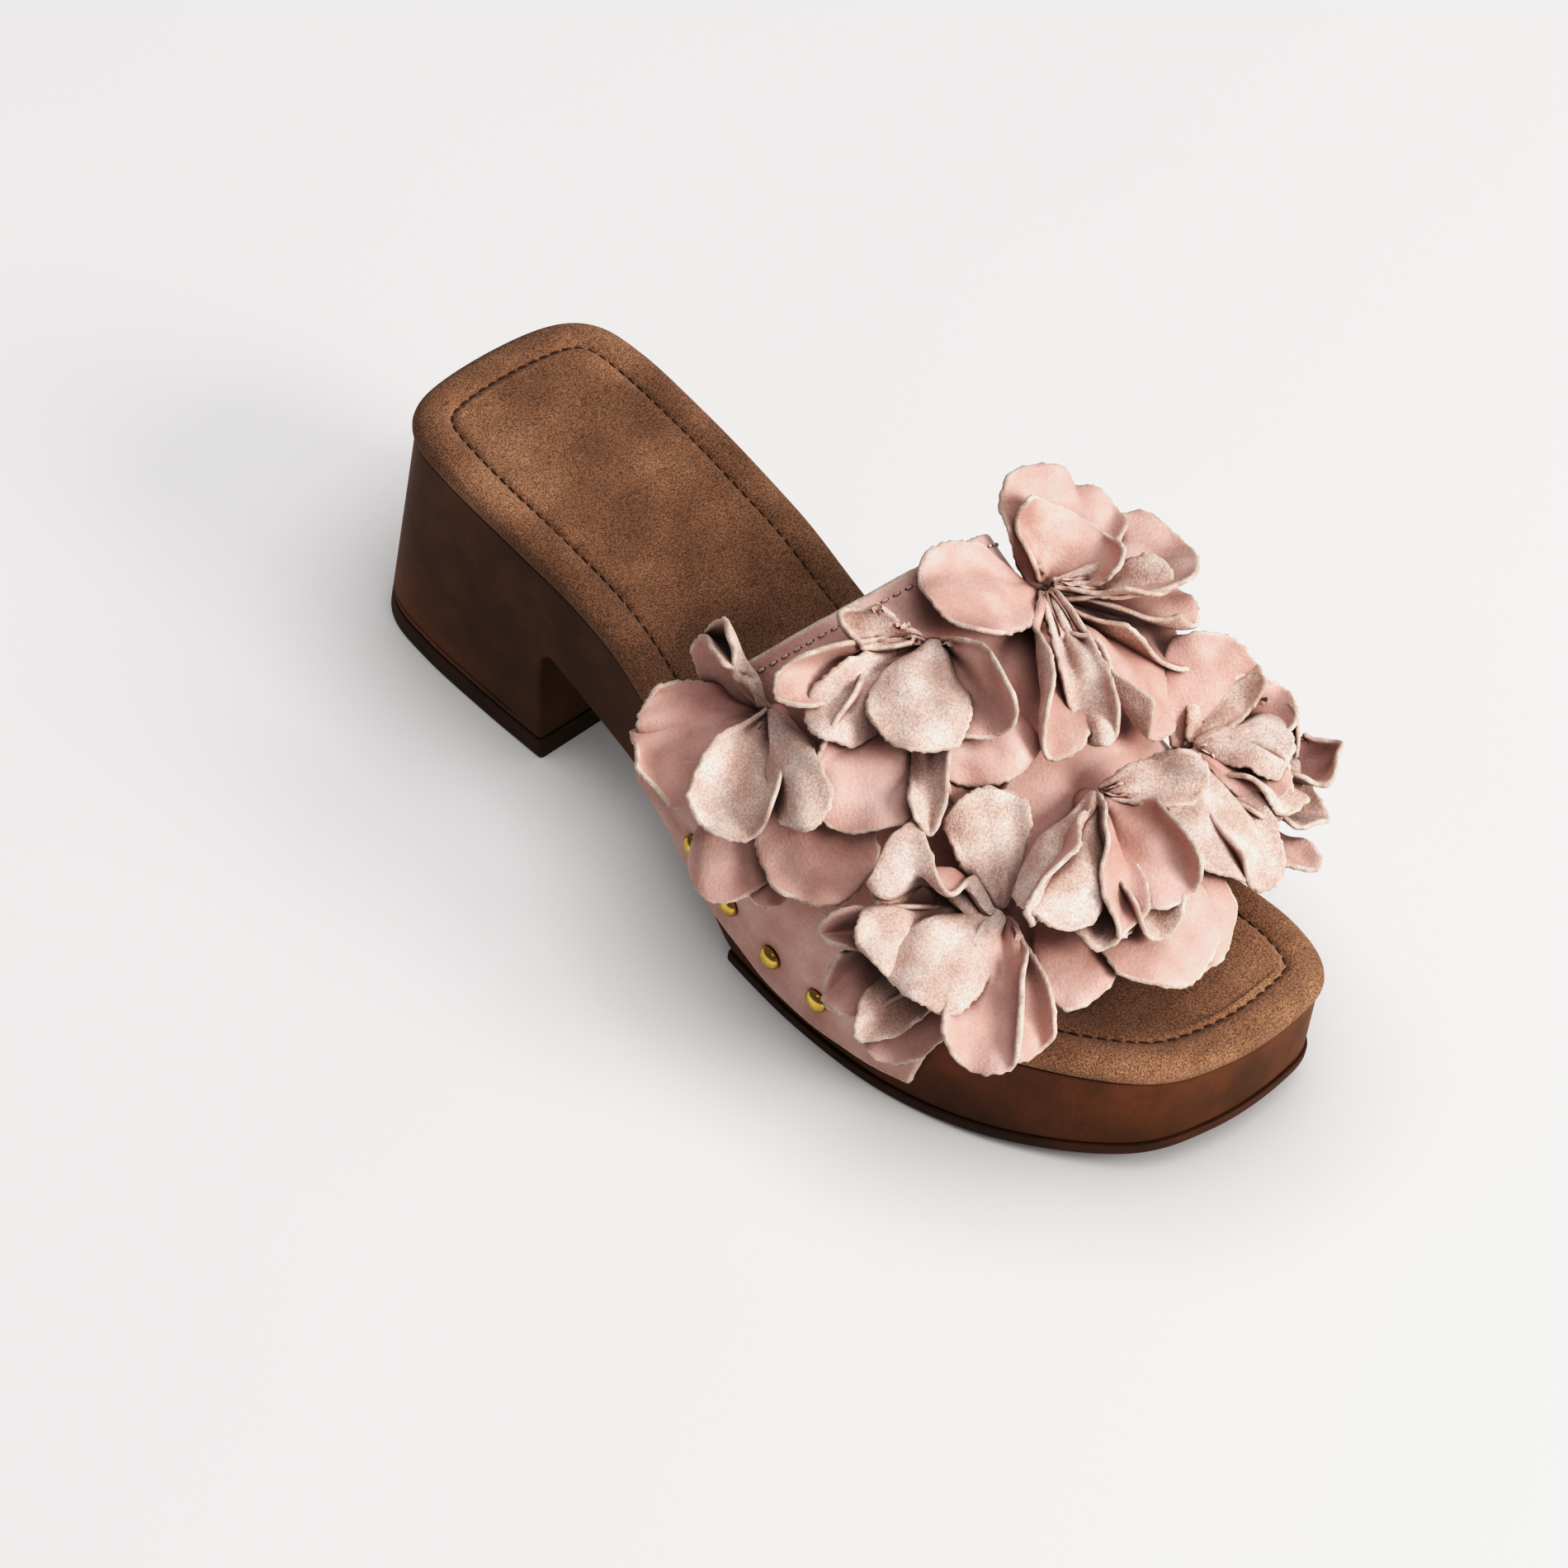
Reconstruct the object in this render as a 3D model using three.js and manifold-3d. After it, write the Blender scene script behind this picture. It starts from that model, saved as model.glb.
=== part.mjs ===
// A women's heeled mule for the right foot: a clog base with a block heel, a suede footbed,
// a hollow leather vamp fastened with brass studs, and six leather flowers on the vamp.
// Millimetres. +X is the wearer's right (lateral), +Y points to the toe and +Z is up.
// The origin is the middle of the heel's resting face, on the floor.
import * as THREE from "three";
import { mergeVertices } from "three/addons/utils/BufferGeometryUtils.js";
import Module from "manifold-3d";

const wasm = await Module();
wasm.setup();

// Sole
const LENGTH = 250; // top edge of the base, back of the heel to the toe
const BALL_WIDTH = 88;
const HEEL_WIDTH = 63;
const HEEL_HEIGHT = 60.5; // top edge of the base at the back of the heel
const BALL_HEIGHT = 24.6; // top edge of the base under the ball of the foot
const TOE_RISE = 6.2; // top edge at the toe above that at the ball
const HEEL_FLARE = 2.8; // heel wider at the floor than at the top edge, on each side
const FORE_FLARE = 0.6; // the same under the forefoot
const HEEL_SEAT_LENGTH = 64.5; // back of the top edge to the heel breast at the floor
const BREAST_LEAN = 4.5; // the breast leans back by this much under the waist
const ARCH_HEIGHT = 33; // floor to the underside of the waist at the breast
const ARCH_CORNER = 3;
const TOP_PIECE_THICKNESS = 5.5;
const OUTSOLE_LENGTH = 112; // measured back from the toe
const OUTSOLE_THICKNESS = 3;
const OUTSOLE_PROUD = 0.5; // outsole wider than the base above it
const SPRING_LENGTH = 65; // the underside lifts over this much of the toe
const TOE_SPRING = 7.5;

// Footbed
const FOOTBED_THICKNESS = 6;
const RIM_BULGE = 0.8; // the suede rim stands out past the top edge
const RIM_WIDTH = 8.2; // edge to the stitched channel
const CHANNEL_WIDTH = 1.6;
const CHANNEL_DEPTH = 1.1;

// Vamp
const VAMP_WALL = 2;
const INSTEP_HEIGHT = 63; // footbed to the crest at the back edge
const HEM_DROP = 16; // lower edge under the top edge of the base
const CREST_INWARD = 19; // the crest lies this far to the medial side
const LATERAL_BULGE = 2; // the wall swells past the base at mid height
const MEDIAL_BULGE = 9;
const LATERAL_ROUNDNESS = 0.95; // 1 is an elliptical shoulder, less is squarer
const MEDIAL_ROUNDNESS = 0.68;

// Studs
const STUDS_PER_SIDE = 6;
const STUD_DIAMETER = 6;
const STUD_HEIGHT = 2.4;
const STUD_INSET = 9; // stud centre above the lower edge of the vamp
const STUD_FIRST = 0.09; // first and last stud between the vamp's back edge, 0, and front edge, 1
const STUD_LAST = 0.865;

// Flowers
const PETAL_LENGTH = 27;
const PETAL_WIDTH = 22;
const PETAL_THICKNESS = 1.3;
const HUB_RADIUS = 4.5;
const HUB_HEIGHT = 4.5;
const LAYER_STEP = 1.5; // one layer of petals above the next

const SEAM_GAP = 0.3; // between pieces that meet
const VAMP_GAP = 0.5; // between the vamp and the curved sides that it lies on

// Outline of the base's top edge from the back, round the lateral side to the toe and back
// along the medial side. along is a share of LENGTH, across of half the named width.
const OUTLINE = [
  { along: 0.0, across: 0.0, of: HEEL_WIDTH },
  { along: 0.0062, across: 0.613, of: HEEL_WIDTH },
  { along: 0.034, across: 0.9, of: HEEL_WIDTH },
  { along: 0.093, across: 0.994, of: HEEL_WIDTH },
  { along: 0.183, across: 1.016, of: HEEL_WIDTH },
  { along: 0.302, across: 1.013, of: HEEL_WIDTH },
  { along: 0.419, across: 0.789, of: BALL_WIDTH },
  { along: 0.536, across: 0.936, of: BALL_WIDTH },
  { along: 0.654, across: 0.998, of: BALL_WIDTH },
  { along: 0.764, across: 0.941, of: BALL_WIDTH },
  { along: 0.869, across: 0.723, of: BALL_WIDTH },
  { along: 0.962, across: 0.332, of: BALL_WIDTH },
  { along: 0.994, across: -0.091, of: BALL_WIDTH },
  { along: 0.9995, across: -0.548, of: BALL_WIDTH },
  { along: 0.985, across: -0.861, of: BALL_WIDTH },
  { along: 0.925, across: -1.002, of: BALL_WIDTH },
  { along: 0.824, across: -0.986, of: BALL_WIDTH },
  { along: 0.703, across: -0.92, of: BALL_WIDTH },
  { along: 0.562, across: -0.818, of: BALL_WIDTH },
  { along: 0.422, across: -0.707, of: BALL_WIDTH },
  { along: 0.302, across: -0.959, of: HEEL_WIDTH },
  { along: 0.183, across: -0.987, of: HEEL_WIDTH },
  { along: 0.093, across: -1.0, of: HEEL_WIDTH },
  { along: 0.038, across: -0.917, of: HEEL_WIDTH },
  { along: 0.0096, across: -0.613, of: HEEL_WIDTH },
];

// Height of the top edge: heel is a share of its drop from heel to ball, toe of the toe's rise.
const PROFILE = [
  { along: -0.05, heel: 1.0, toe: 0 },
  { along: 0.1, heel: 0.95, toe: 0 },
  { along: 0.22, heel: 0.868, toe: 0 },
  { along: 0.32, heel: 0.728, toe: 0 },
  { along: 0.42, heel: 0.418, toe: 0 },
  { along: 0.52, heel: 0.122, toe: 0 },
  { along: 0.64, heel: 0, toe: 0 },
  { along: 0.8, heel: 0, toe: 0.5 },
  { along: 1.05, heel: 0, toe: 1 },
];

// Underside of the waist from the heel breast (run 0) to the outsole (run 1).
const ARCH = [
  { run: 0, height: 1 },
  { run: 0.22, height: 0.83 },
  { run: 0.44, height: 0.69 },
  { run: 0.75, height: 0.41 },
  { run: 0.9, height: 0.17 },
  { run: 1, height: 0 },
];

// Sections of the vamp from its back edge (run 0) to its front edge (run 1). lateral, medial
// and crest place the two lower edges and the crest along LENGTH, rise is a share of
// INSTEP_HEIGHT, hem of HEM_DROP, lean tips the section forward and skew turns its medial
// side forward.
const VAMP = [
  { run: 0, lateral: 0.391, medial: 0.4, crest: 0.545, rise: 1, hem: 1.08, lean: 0.58, skew: 0.1 },
  { run: 0.3, lateral: 0.512, medial: 0.53, crest: 0.632, rise: 0.86, hem: 0.92, lean: 0.45, skew: 0.1 },
  { run: 0.65, lateral: 0.65, medial: 0.67, crest: 0.74, rise: 0.6, hem: 0.98, lean: 0.32, skew: 0.1 },
  { run: 1, lateral: 0.784, medial: 0.825, crest: 0.845, rise: 0.28, hem: 1.05, lean: 0.25, skew: 0.1 },
];

// Flowers. out is how far from the crest towards a lower edge the hub sits (1 is the edge,
// minus on the lateral side), run is its place between the vamp's back and front edge.
// Petals: turn is the direction round the hub from the toe towards the lateral side, rise the
// angle off the hub's plane, curl the bend along the petal, tilt its roll about its own length
// at the hub, twist the roll added on the way and cup the bend across it, all in degrees;
// long and wide are shares of PETAL_LENGTH and PETAL_WIDTH, layer counts up from the vamp.
const FLOWERS = [
  {
    out: 0.25,
    run: 0.22,
    petals: [
      { turn: 213, rise: 46, curl: 12, tilt: 0, twist: 0, cup: -25, long: 1.02, wide: 1.1, layer: 1 },
      { turn: 250, rise: 38, curl: 6, tilt: 0, twist: 0, cup: -20, long: 1.04, wide: 1.05, layer: 2 },
      { turn: 262, rise: 58, curl: 0, tilt: -8, twist: 0, cup: 40, long: 0.78, wide: 1.25, layer: 3 },
      { turn: 298, rise: 34, curl: -12, tilt: 0, twist: 0, cup: -50, long: 1.36, wide: 1.15, layer: 1 },
      { turn: 312, rise: 30, curl: -5, tilt: 40, twist: 0, cup: 20, long: 0.93, wide: 0.55, layer: 3 },
      { turn: 318, rise: 20, curl: -10, tilt: 10, twist: 0, cup: -30, long: 1.35, wide: 0.85, layer: 2 },
      { turn: 326, rise: 4, curl: 0, tilt: 0, twist: 0, cup: -20, long: 1.35, wide: 0.6, layer: 0 },
      { turn: 357, rise: -6, curl: -12, tilt: -10, twist: 10, cup: 50, long: 1.62, wide: 0.95, layer: 1 },
      { turn: 12, rise: -2, curl: -24, tilt: 0, twist: 0, cup: 20, long: 1.5, wide: 0.75, layer: 1 },
      { turn: 26, rise: 2, curl: -30, tilt: 10, twist: 0, cup: 30, long: 1.45, wide: 0.8, layer: 2 },
      { turn: 122, rise: 20, curl: -36, tilt: 0, twist: 0, cup: -15, long: 1.25, wide: 1.15, layer: 0 },
    ],
  },
  {
    out: -0.13,
    run: 0.22,
    petals: [
      { turn: 135, rise: 22, curl: 20, tilt: -10, twist: 30, cup: 80, long: 0.8, wide: 0.6, layer: 1 },
      { turn: 285, rise: 60, curl: -110, tilt: -25, twist: -20, cup: 30, long: 1.15, wide: 0.85, layer: 3 },
      { turn: 42, rise: 14, curl: -20, tilt: 0, twist: 0, cup: -25, long: 1.05, wide: 1.05, layer: 3 },
      { turn: 5, rise: 4, curl: -16, tilt: -10, twist: 0, cup: -40, long: 1.14, wide: 0.95, layer: 1 },
      { turn: 100, rise: 10, curl: -25, tilt: 20, twist: 0, cup: -40, long: 1.3, wide: 0.75, layer: 1 },
      { turn: 78, rise: 12, curl: -20, tilt: 35, twist: 20, cup: 50, long: 1.2, wide: 0.7, layer: 2 },
      { turn: 44, rise: -2, curl: -14, tilt: 0, twist: 0, cup: -40, long: 1.68, wide: 1.1, layer: 0 },
      { turn: 30, rise: 4, curl: -20, tilt: -50, twist: 0, cup: 40, long: 1.5, wide: 0.5, layer: 1 },
      { turn: 14, rise: 0, curl: -10, tilt: 0, twist: 0, cup: -20, long: 1.38, wide: 0.6, layer: 0 },
    ],
  },
  {
    out: -0.44,
    run: 0.15,
    petals: [
      { turn: 176, rise: 34, curl: 10, tilt: 70, twist: 10, cup: 40, long: 0.92, wide: 0.7, layer: 2 },
      { turn: 160, rise: 28, curl: 10, tilt: 65, twist: 10, cup: 45, long: 0.85, wide: 0.7, layer: 1 },
      { turn: 117, rise: 8, curl: -4, tilt: 10, twist: 0, cup: -40, long: 1.08, wide: 0.85, layer: 0 },
      { turn: 98, rise: 2, curl: 4, tilt: 5, twist: 10, cup: -30, long: 1.26, wide: 0.9, layer: 1 },
      { turn: 64, rise: 12, curl: -8, tilt: 8, twist: 0, cup: 70, long: 1.0, wide: 1.15, layer: 2 },
      { turn: 20, rise: 22, curl: -35, tilt: -30, twist: -10, cup: 60, long: 1.15, wide: 0.85, layer: 3 },
      { turn: 52, rise: -8, curl: -6, tilt: 0, twist: 0, cup: -30, long: 1.45, wide: 0.9, layer: 1 },
      { turn: 28, rise: -12, curl: -5, tilt: 0, twist: 0, cup: -20, long: 1.45, wide: 0.6, layer: 0 },
      { turn: 8, rise: -4, curl: -14, tilt: 0, twist: 0, cup: -40, long: 1.5, wide: 1.0, layer: 1 },
    ],
  },
  {
    out: -0.3,
    run: 0.88,
    petals: [
      { turn: 146, rise: 26, curl: -18, tilt: 50, twist: 20, cup: 90, long: 1.25, wide: 0.75, layer: 2 },
      { turn: 219, rise: 28, curl: -20, tilt: 0, twist: 0, cup: 30, long: 1.0, wide: 0.8, layer: 2 },
      { turn: 125, rise: 10, curl: -18, tilt: 30, twist: 0, cup: 50, long: 1.42, wide: 0.6, layer: 0 },
      { turn: 128, rise: 20, curl: -20, tilt: 20, twist: 10, cup: 70, long: 1.25, wide: 0.8, layer: 2 },
      { turn: 104, rise: 16, curl: -25, tilt: 0, twist: 0, cup: 50, long: 1.15, wide: 0.8, layer: 2 },
      { turn: 84, rise: 16, curl: -28, tilt: 10, twist: 0, cup: -30, long: 1.22, wide: 1.0, layer: 3 },
      { turn: 112, rise: 4, curl: -20, tilt: 0, twist: 0, cup: -40, long: 1.45, wide: 0.7, layer: 0 },
      { turn: 95, rise: 0, curl: -20, tilt: 0, twist: 10, cup: 40, long: 1.42, wide: 0.7, layer: 1 },
      { turn: 86, rise: -2, curl: -20, tilt: 0, twist: 0, cup: -30, long: 1.45, wide: 0.85, layer: 0 },
      { turn: 50, rise: 6, curl: -26, tilt: 25, twist: 0, cup: 70, long: 1.35, wide: 1.0, layer: 2 },
      { turn: 34, rise: 2, curl: -18, tilt: -25, twist: 0, cup: 40, long: 1.18, wide: 0.85, layer: 1 },
    ],
  },
  {
    out: -0.03,
    run: 0.75,
    petals: [
      { turn: 290, rise: 22, curl: 4, tilt: 20, twist: 0, cup: -20, long: 0.95, wide: 0.65, layer: 3 },
      { turn: 352, rise: 24, curl: -50, tilt: 0, twist: 0, cup: -60, long: 1.2, wide: 1.0, layer: 3 },
      { turn: 348, rise: 0, curl: -6, tilt: 0, twist: 0, cup: 0, long: 1.55, wide: 1.25, layer: 0 },
      { turn: 2, rise: 4, curl: -10, tilt: 0, twist: 0, cup: -20, long: 1.72, wide: 1.15, layer: 1 },
      { turn: 30, rise: 2, curl: -24, tilt: 10, twist: 0, cup: -50, long: 1.5, wide: 0.7, layer: 0 },
      { turn: 42, rise: -2, curl: -24, tilt: 0, twist: 0, cup: -20, long: 1.6, wide: 0.75, layer: 0 },
      { turn: 52, rise: 14, curl: -55, tilt: -20, twist: 10, cup: -50, long: 1.25, wide: 0.95, layer: 2 },
      { turn: 66, rise: 14, curl: -60, tilt: 55, twist: 0, cup: 60, long: 1.2, wide: 0.6, layer: 2 },
      { turn: 46, rise: 8, curl: -40, tilt: 30, twist: 0, cup: 40, long: 1.45, wide: 0.7, layer: 1 },
    ],
  },
  {
    out: 0.35,
    run: 0.75,
    petals: [
      { turn: 236, rise: 48, curl: 4, tilt: 0, twist: 0, cup: 30, long: 0.98, wide: 0.95, layer: 1 },
      { turn: 258, rise: 46, curl: 0, tilt: 20, twist: 0, cup: 60, long: 0.88, wide: 0.7, layer: 2 },
      { turn: 290, rise: 34, curl: 10, tilt: 0, twist: 0, cup: 80, long: 1.05, wide: 0.9, layer: 1 },
      { turn: 306, rise: 24, curl: 20, tilt: 10, twist: 0, cup: 80, long: 1.2, wide: 0.8, layer: 1 },
      { turn: 323, rise: 38, curl: -10, tilt: 0, twist: 0, cup: -30, long: 0.75, wide: 1.0, layer: 3 },
      { turn: 326, rise: 24, curl: -10, tilt: -20, twist: 0, cup: -30, long: 0.8, wide: 0.8, layer: 2 },
      { turn: 336, rise: 14, curl: -5, tilt: -10, twist: 0, cup: 40, long: 1.02, wide: 0.8, layer: 2 },
      { turn: 318, rise: 6, curl: 12, tilt: 0, twist: -15, cup: 40, long: 1.52, wide: 0.7, layer: 1 },
      { turn: 334, rise: 0, curl: 0, tilt: 10, twist: 0, cup: 30, long: 1.35, wide: 0.9, layer: 0 },
      { turn: 22, rise: -2, curl: -18, tilt: 0, twist: 0, cup: -30, long: 1.2, wide: 1.1, layer: 2 },
      { turn: 8, rise: -6, curl: -12, tilt: -10, twist: 0, cup: 40, long: 1.28, wide: 0.9, layer: 1 },
      { turn: 352, rise: -6, curl: -4, tilt: 0, twist: 0, cup: 50, long: 1.45, wide: 0.6, layer: 0 },
    ],
  },
];

// A column's value between the rows of a table, smooth and without overshoot.
function between(rows, key, column, at) {
  const n = rows.length;
  const slope = (i) =>
    (rows[i + 1][column] - rows[i][column]) / (rows[i + 1][key] - rows[i][key]);
  const tangent = (i) => {
    if (i === 0) return slope(0);
    if (i === n - 1) return slope(n - 2);
    const [before, after] = [slope(i - 1), slope(i)];
    return before * after <= 0 ? 0 : (2 * before * after) / (before + after);
  };
  if (at <= rows[0][key]) return rows[0][column];
  if (at >= rows[n - 1][key]) return rows[n - 1][column];
  const i = rows.findIndex((row, k) => k < n - 1 && at <= rows[k + 1][key]);
  const span = rows[i + 1][key] - rows[i][key];
  const t = (at - rows[i][key]) / span;
  const h = [2 * t ** 3 - 3 * t ** 2 + 1, t ** 3 - 2 * t ** 2 + t, 3 * t ** 2 - 2 * t ** 3, t ** 3 - t ** 2];
  return (
    h[0] * rows[i][column] +
    h[1] * span * tangent(i) +
    h[2] * rows[i + 1][column] +
    h[3] * span * tangent(i + 1)
  );
}

const smoothstep = (a, b, x) => THREE.MathUtils.smoothstep(x, a, b);
const lerp = THREE.MathUtils.lerp;
const rad = THREE.MathUtils.degToRad;

// Height of the base's top edge at y.
function topEdge(y) {
  const along = y / LENGTH;
  return (
    BALL_HEIGHT +
    (HEEL_HEIGHT - BALL_HEIGHT) * between(PROFILE, "along", "heel", along) +
    TOE_RISE * between(PROFILE, "along", "toe", along)
  );
}

// Lift of the underside at y: flat as far as the toe spring.
const spring = (y) => TOE_SPRING * Math.max(0, (y - (LENGTH - SPRING_LENGTH)) / SPRING_LENGTH) ** 2;

// How far the side wall flares out at height z.
function flare(y, z) {
  const fore = smoothstep(LENGTH * 0.24, LENGTH * 0.6, y);
  return lerp(HEEL_FLARE, FORE_FLARE, fore) * (1 - z / topEdge(y));
}

const outlineCurve = new THREE.CatmullRomCurve3(
  OUTLINE.map((p) => new THREE.Vector3((p.across * p.of) / 2, p.along * LENGTH, 0)),
  true,
  "catmullrom",
  0.5,
);

// The curve's parameter at the back and at the tip of the toe.
function extreme(sign, from, to) {
  let best = from;
  for (let t = from; t <= to; t += 1e-4)
    if (sign * outlineCurve.getPoint(t).y > sign * outlineCurve.getPoint(best).y) best = t;
  return best;
}
const BACK_T = extreme(-1, -0.02, 0.02);
const TOE_T = extreme(1, 0.45, 0.56);

// The parameter on one side (1 lateral, -1 medial) where the outline is at y.
function parameterAt(y, side) {
  let [low, high] = side > 0 ? [BACK_T, TOE_T] : [BACK_T + 1, TOE_T];
  for (let i = 0; i < 40; i++) {
    const middle = (low + high) / 2;
    if (outlineCurve.getPoint(THREE.MathUtils.euclideanModulo(middle, 1)).y < y) low = middle;
    else high = middle;
  }
  return THREE.MathUtils.euclideanModulo((low + high) / 2, 1);
}

function outlineAt(t) {
  const point = outlineCurve.getPoint(t);
  const ahead = outlineCurve.getPoint(THREE.MathUtils.euclideanModulo(t + 1e-4, 1));
  const behind = outlineCurve.getPoint(THREE.MathUtils.euclideanModulo(t - 1e-4, 1));
  const along = ahead.sub(behind).normalize();
  return { point, normal: new THREE.Vector3(along.y, -along.x, 0) };
}

// Stations round the outline: closer together at both ends, opposite points at the same y.
const STATIONS = 28;
const outline = [];
for (let i = 0; i < 2 * STATIONS; i++) {
  const [k, side] = i <= STATIONS ? [i, 1] : [2 * STATIONS - i, -1];
  const back = outlineCurve.getPoint(THREE.MathUtils.euclideanModulo(BACK_T, 1)).y;
  const toe = outlineCurve.getPoint(TOE_T).y;
  if (i === 0) outline.push(outlineAt(THREE.MathUtils.euclideanModulo(BACK_T, 1)));
  else if (i === STATIONS) outline.push(outlineAt(TOE_T));
  else {
    const y = back + ((toe - back) * (1 - Math.cos((Math.PI * k) / STATIONS))) / 2;
    outline.push(outlineAt(parameterAt(y, side)));
  }
}

// A ring round the outline, moved outwards and set to a height by functions of y.
const ring = (outwards, height) =>
  outline.map(({ point, normal }) => {
    const moved = point.clone().addScaledVector(normal, outwards(point.y));
    moved.z = height(moved.y);
    return moved;
  });

function geometryOf(positions, triangles) {
  const made = new THREE.BufferGeometry();
  const numbers = positions.flatMap((p) => [p.x, p.y, p.z]);
  made.setAttribute("position", new THREE.Float32BufferAttribute(numbers, 3));
  made.setIndex(triangles);
  return made;
}

// A closed body from rings, lowest first, with rungs across its first and last ring.
function stack(rings) {
  const n = 2 * STATIONS;
  const triangles = [];
  const quad = (a, b, c, d) => triangles.push(a, b, c, a, c, d);
  for (let r = 0; r + 1 < rings.length; r++)
    for (let i = 0; i < n; i++) {
      const j = (i + 1) % n;
      quad(r * n + i, r * n + j, (r + 1) * n + j, (r + 1) * n + i);
    }
  const cap = (first, up) => {
    const face = (...corners) => {
      const order = up ? corners : corners.reverse();
      for (let c = 1; c + 1 < order.length; c++) triangles.push(order[0], order[c], order[c + 1]);
    };
    face(first, first + 1, first + n - 1);
    for (let k = 1; k + 1 < STATIONS; k++) {
      const [here, across] = [first + k, first + n - k];
      face(here, here + 1, across - 1, across);
    }
    face(first + STATIONS - 1, first + STATIONS, first + STATIONS + 1);
  };
  cap(0, false);
  cap((rings.length - 1) * n, true);
  return geometryOf(rings.flat(), triangles);
}

// A side profile in (y, z) as a solid wider than the shoe.
function acrossShoe(points) {
  const width = 2 * BALL_WIDTH;
  const profile = new THREE.Shape(points.map(([y, z]) => new THREE.Vector2(y, z)));
  const made = new THREE.ExtrudeGeometry(profile, { depth: width, bevelEnabled: false });
  const upright = new THREE.Matrix4().set(0, 0, 1, -width / 2, 1, 0, 0, 0, 0, 1, 0, 0, 0, 0, 0, 1);
  return made.applyMatrix4(upright);
}

function solid(geometry) {
  const bare = geometry.clone();
  bare.deleteAttribute("normal");
  bare.deleteAttribute("uv");
  const merged = mergeVertices(bare, 1e-4);
  return new wasm.Manifold(
    new wasm.Mesh({
      numProp: 3,
      vertProperties: new Float32Array(merged.attributes.position.array),
      triVerts: new Uint32Array(merged.index.array),
    }),
  );
}

function geometryFrom(manifold) {
  const mesh = manifold.getMesh();
  const made = new THREE.BufferGeometry();
  made.setAttribute("position", new THREE.BufferAttribute(mesh.vertProperties, 3));
  made.setIndex(new THREE.BufferAttribute(mesh.triVerts, 1));
  return made;
}

// The breast of the heel, leaning back from the floor to the waist.
const breastY = (z) => HEEL_SEAT_LENGTH - (BREAST_LEAN * z) / ARCH_HEIGHT;

// The space under the waist and under the forefoot down to the floor, as a side profile.
function underside(clearance) {
  const start = breastY(ARCH_HEIGHT);
  const end = LENGTH - OUTSOLE_LENGTH;
  const floor = -ARCH_HEIGHT;
  const top = OUTSOLE_THICKNESS + clearance;
  const points = [[breastY(floor), floor]];
  const steps = 12;
  for (let i = 0; i <= 3; i++) {
    const turn = (Math.PI / 2) * (i / 3);
    const [y, z] = [ARCH_CORNER * (1 - Math.cos(turn)), ARCH_CORNER * (1 - Math.sin(turn))];
    points.push([start + y, ARCH_HEIGHT - z]);
  }
  for (let i = 1; i <= steps; i++) {
    const run = i / steps;
    const y = lerp(start + ARCH_CORNER, end, run);
    points.push([y, top + (ARCH_HEIGHT - top) * between(ARCH, "run", "height", run)]);
  }
  for (let i = 0; i <= steps; i++) {
    const y = lerp(LENGTH - SPRING_LENGTH, LENGTH * 1.04, i / steps);
    points.push([y, top + spring(y)]);
  }
  points.push([LENGTH * 1.04, floor]);
  return points;
}

function makeSole() {
  const bottom = TOP_PIECE_THICKNESS + SEAM_GAP;
  const low = OUTSOLE_THICKNESS;
  const block = stack([
    ring((y) => flare(y, low), () => low),
    ring(() => 0, topEdge),
  ]);
  const underHeel = [
    [-LENGTH, -low],
    [breastY(0) + ARCH_CORNER, -low],
    [breastY(0) + ARCH_CORNER, bottom],
    [-LENGTH, bottom],
  ];
  return geometryFrom(
    solid(block).subtract(solid(acrossShoe(underside(SEAM_GAP)))).subtract(solid(acrossShoe(underHeel))),
  );
}

function makeHeelTopPiece() {
  const block = stack([
    ring((y) => flare(y, 0), () => 0),
    ring((y) => flare(y, TOP_PIECE_THICKNESS), () => TOP_PIECE_THICKNESS),
  ]);
  const ahead = [
    [breastY(-ARCH_HEIGHT), -ARCH_HEIGHT],
    [LENGTH * 1.04, -ARCH_HEIGHT],
    [LENGTH * 1.04, ARCH_HEIGHT],
    [breastY(ARCH_HEIGHT), ARCH_HEIGHT],
  ];
  return geometryFrom(solid(block).subtract(solid(acrossShoe(ahead))));
}

function makeOutsole() {
  const tall = OUTSOLE_THICKNESS + TOE_SPRING * 1.2;
  const block = stack([
    ring((y) => flare(y, 0) + OUTSOLE_PROUD, () => -tall),
    ring((y) => flare(y, 0) + OUTSOLE_PROUD, () => tall),
  ]);
  const steps = 12;
  const lower = [[LENGTH - OUTSOLE_LENGTH, 0]];
  const upper = [[LENGTH - OUTSOLE_LENGTH, OUTSOLE_THICKNESS]];
  for (let i = 0; i <= steps; i++) {
    const y = lerp(LENGTH - SPRING_LENGTH, LENGTH * 1.04, i / steps);
    lower.push([y, spring(y)]);
    upper.push([y, spring(y) + OUTSOLE_THICKNESS]);
  }
  return geometryFrom(solid(block).intersect(solid(acrossShoe([...lower, ...upper.reverse()]))));
}

function makeFootbed() {
  const at = (inset, lift) => ring(() => -inset, (y) => topEdge(y) + SEAM_GAP + lift);
  const full = FOOTBED_THICKNESS;
  return stack([
    at(0.8, 0),
    at(-RIM_BULGE, full * 0.3),
    at(-RIM_BULGE, full * 0.55),
    at(RIM_WIDTH * 0.12, full * 0.88),
    at(RIM_WIDTH * 0.42, full),
    at(RIM_WIDTH * 0.8, full * 0.93),
    at(RIM_WIDTH, full - CHANNEL_DEPTH),
    at(RIM_WIDTH + CHANNEL_WIDTH, full - CHANNEL_DEPTH * 0.4),
  ]);
}

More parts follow.
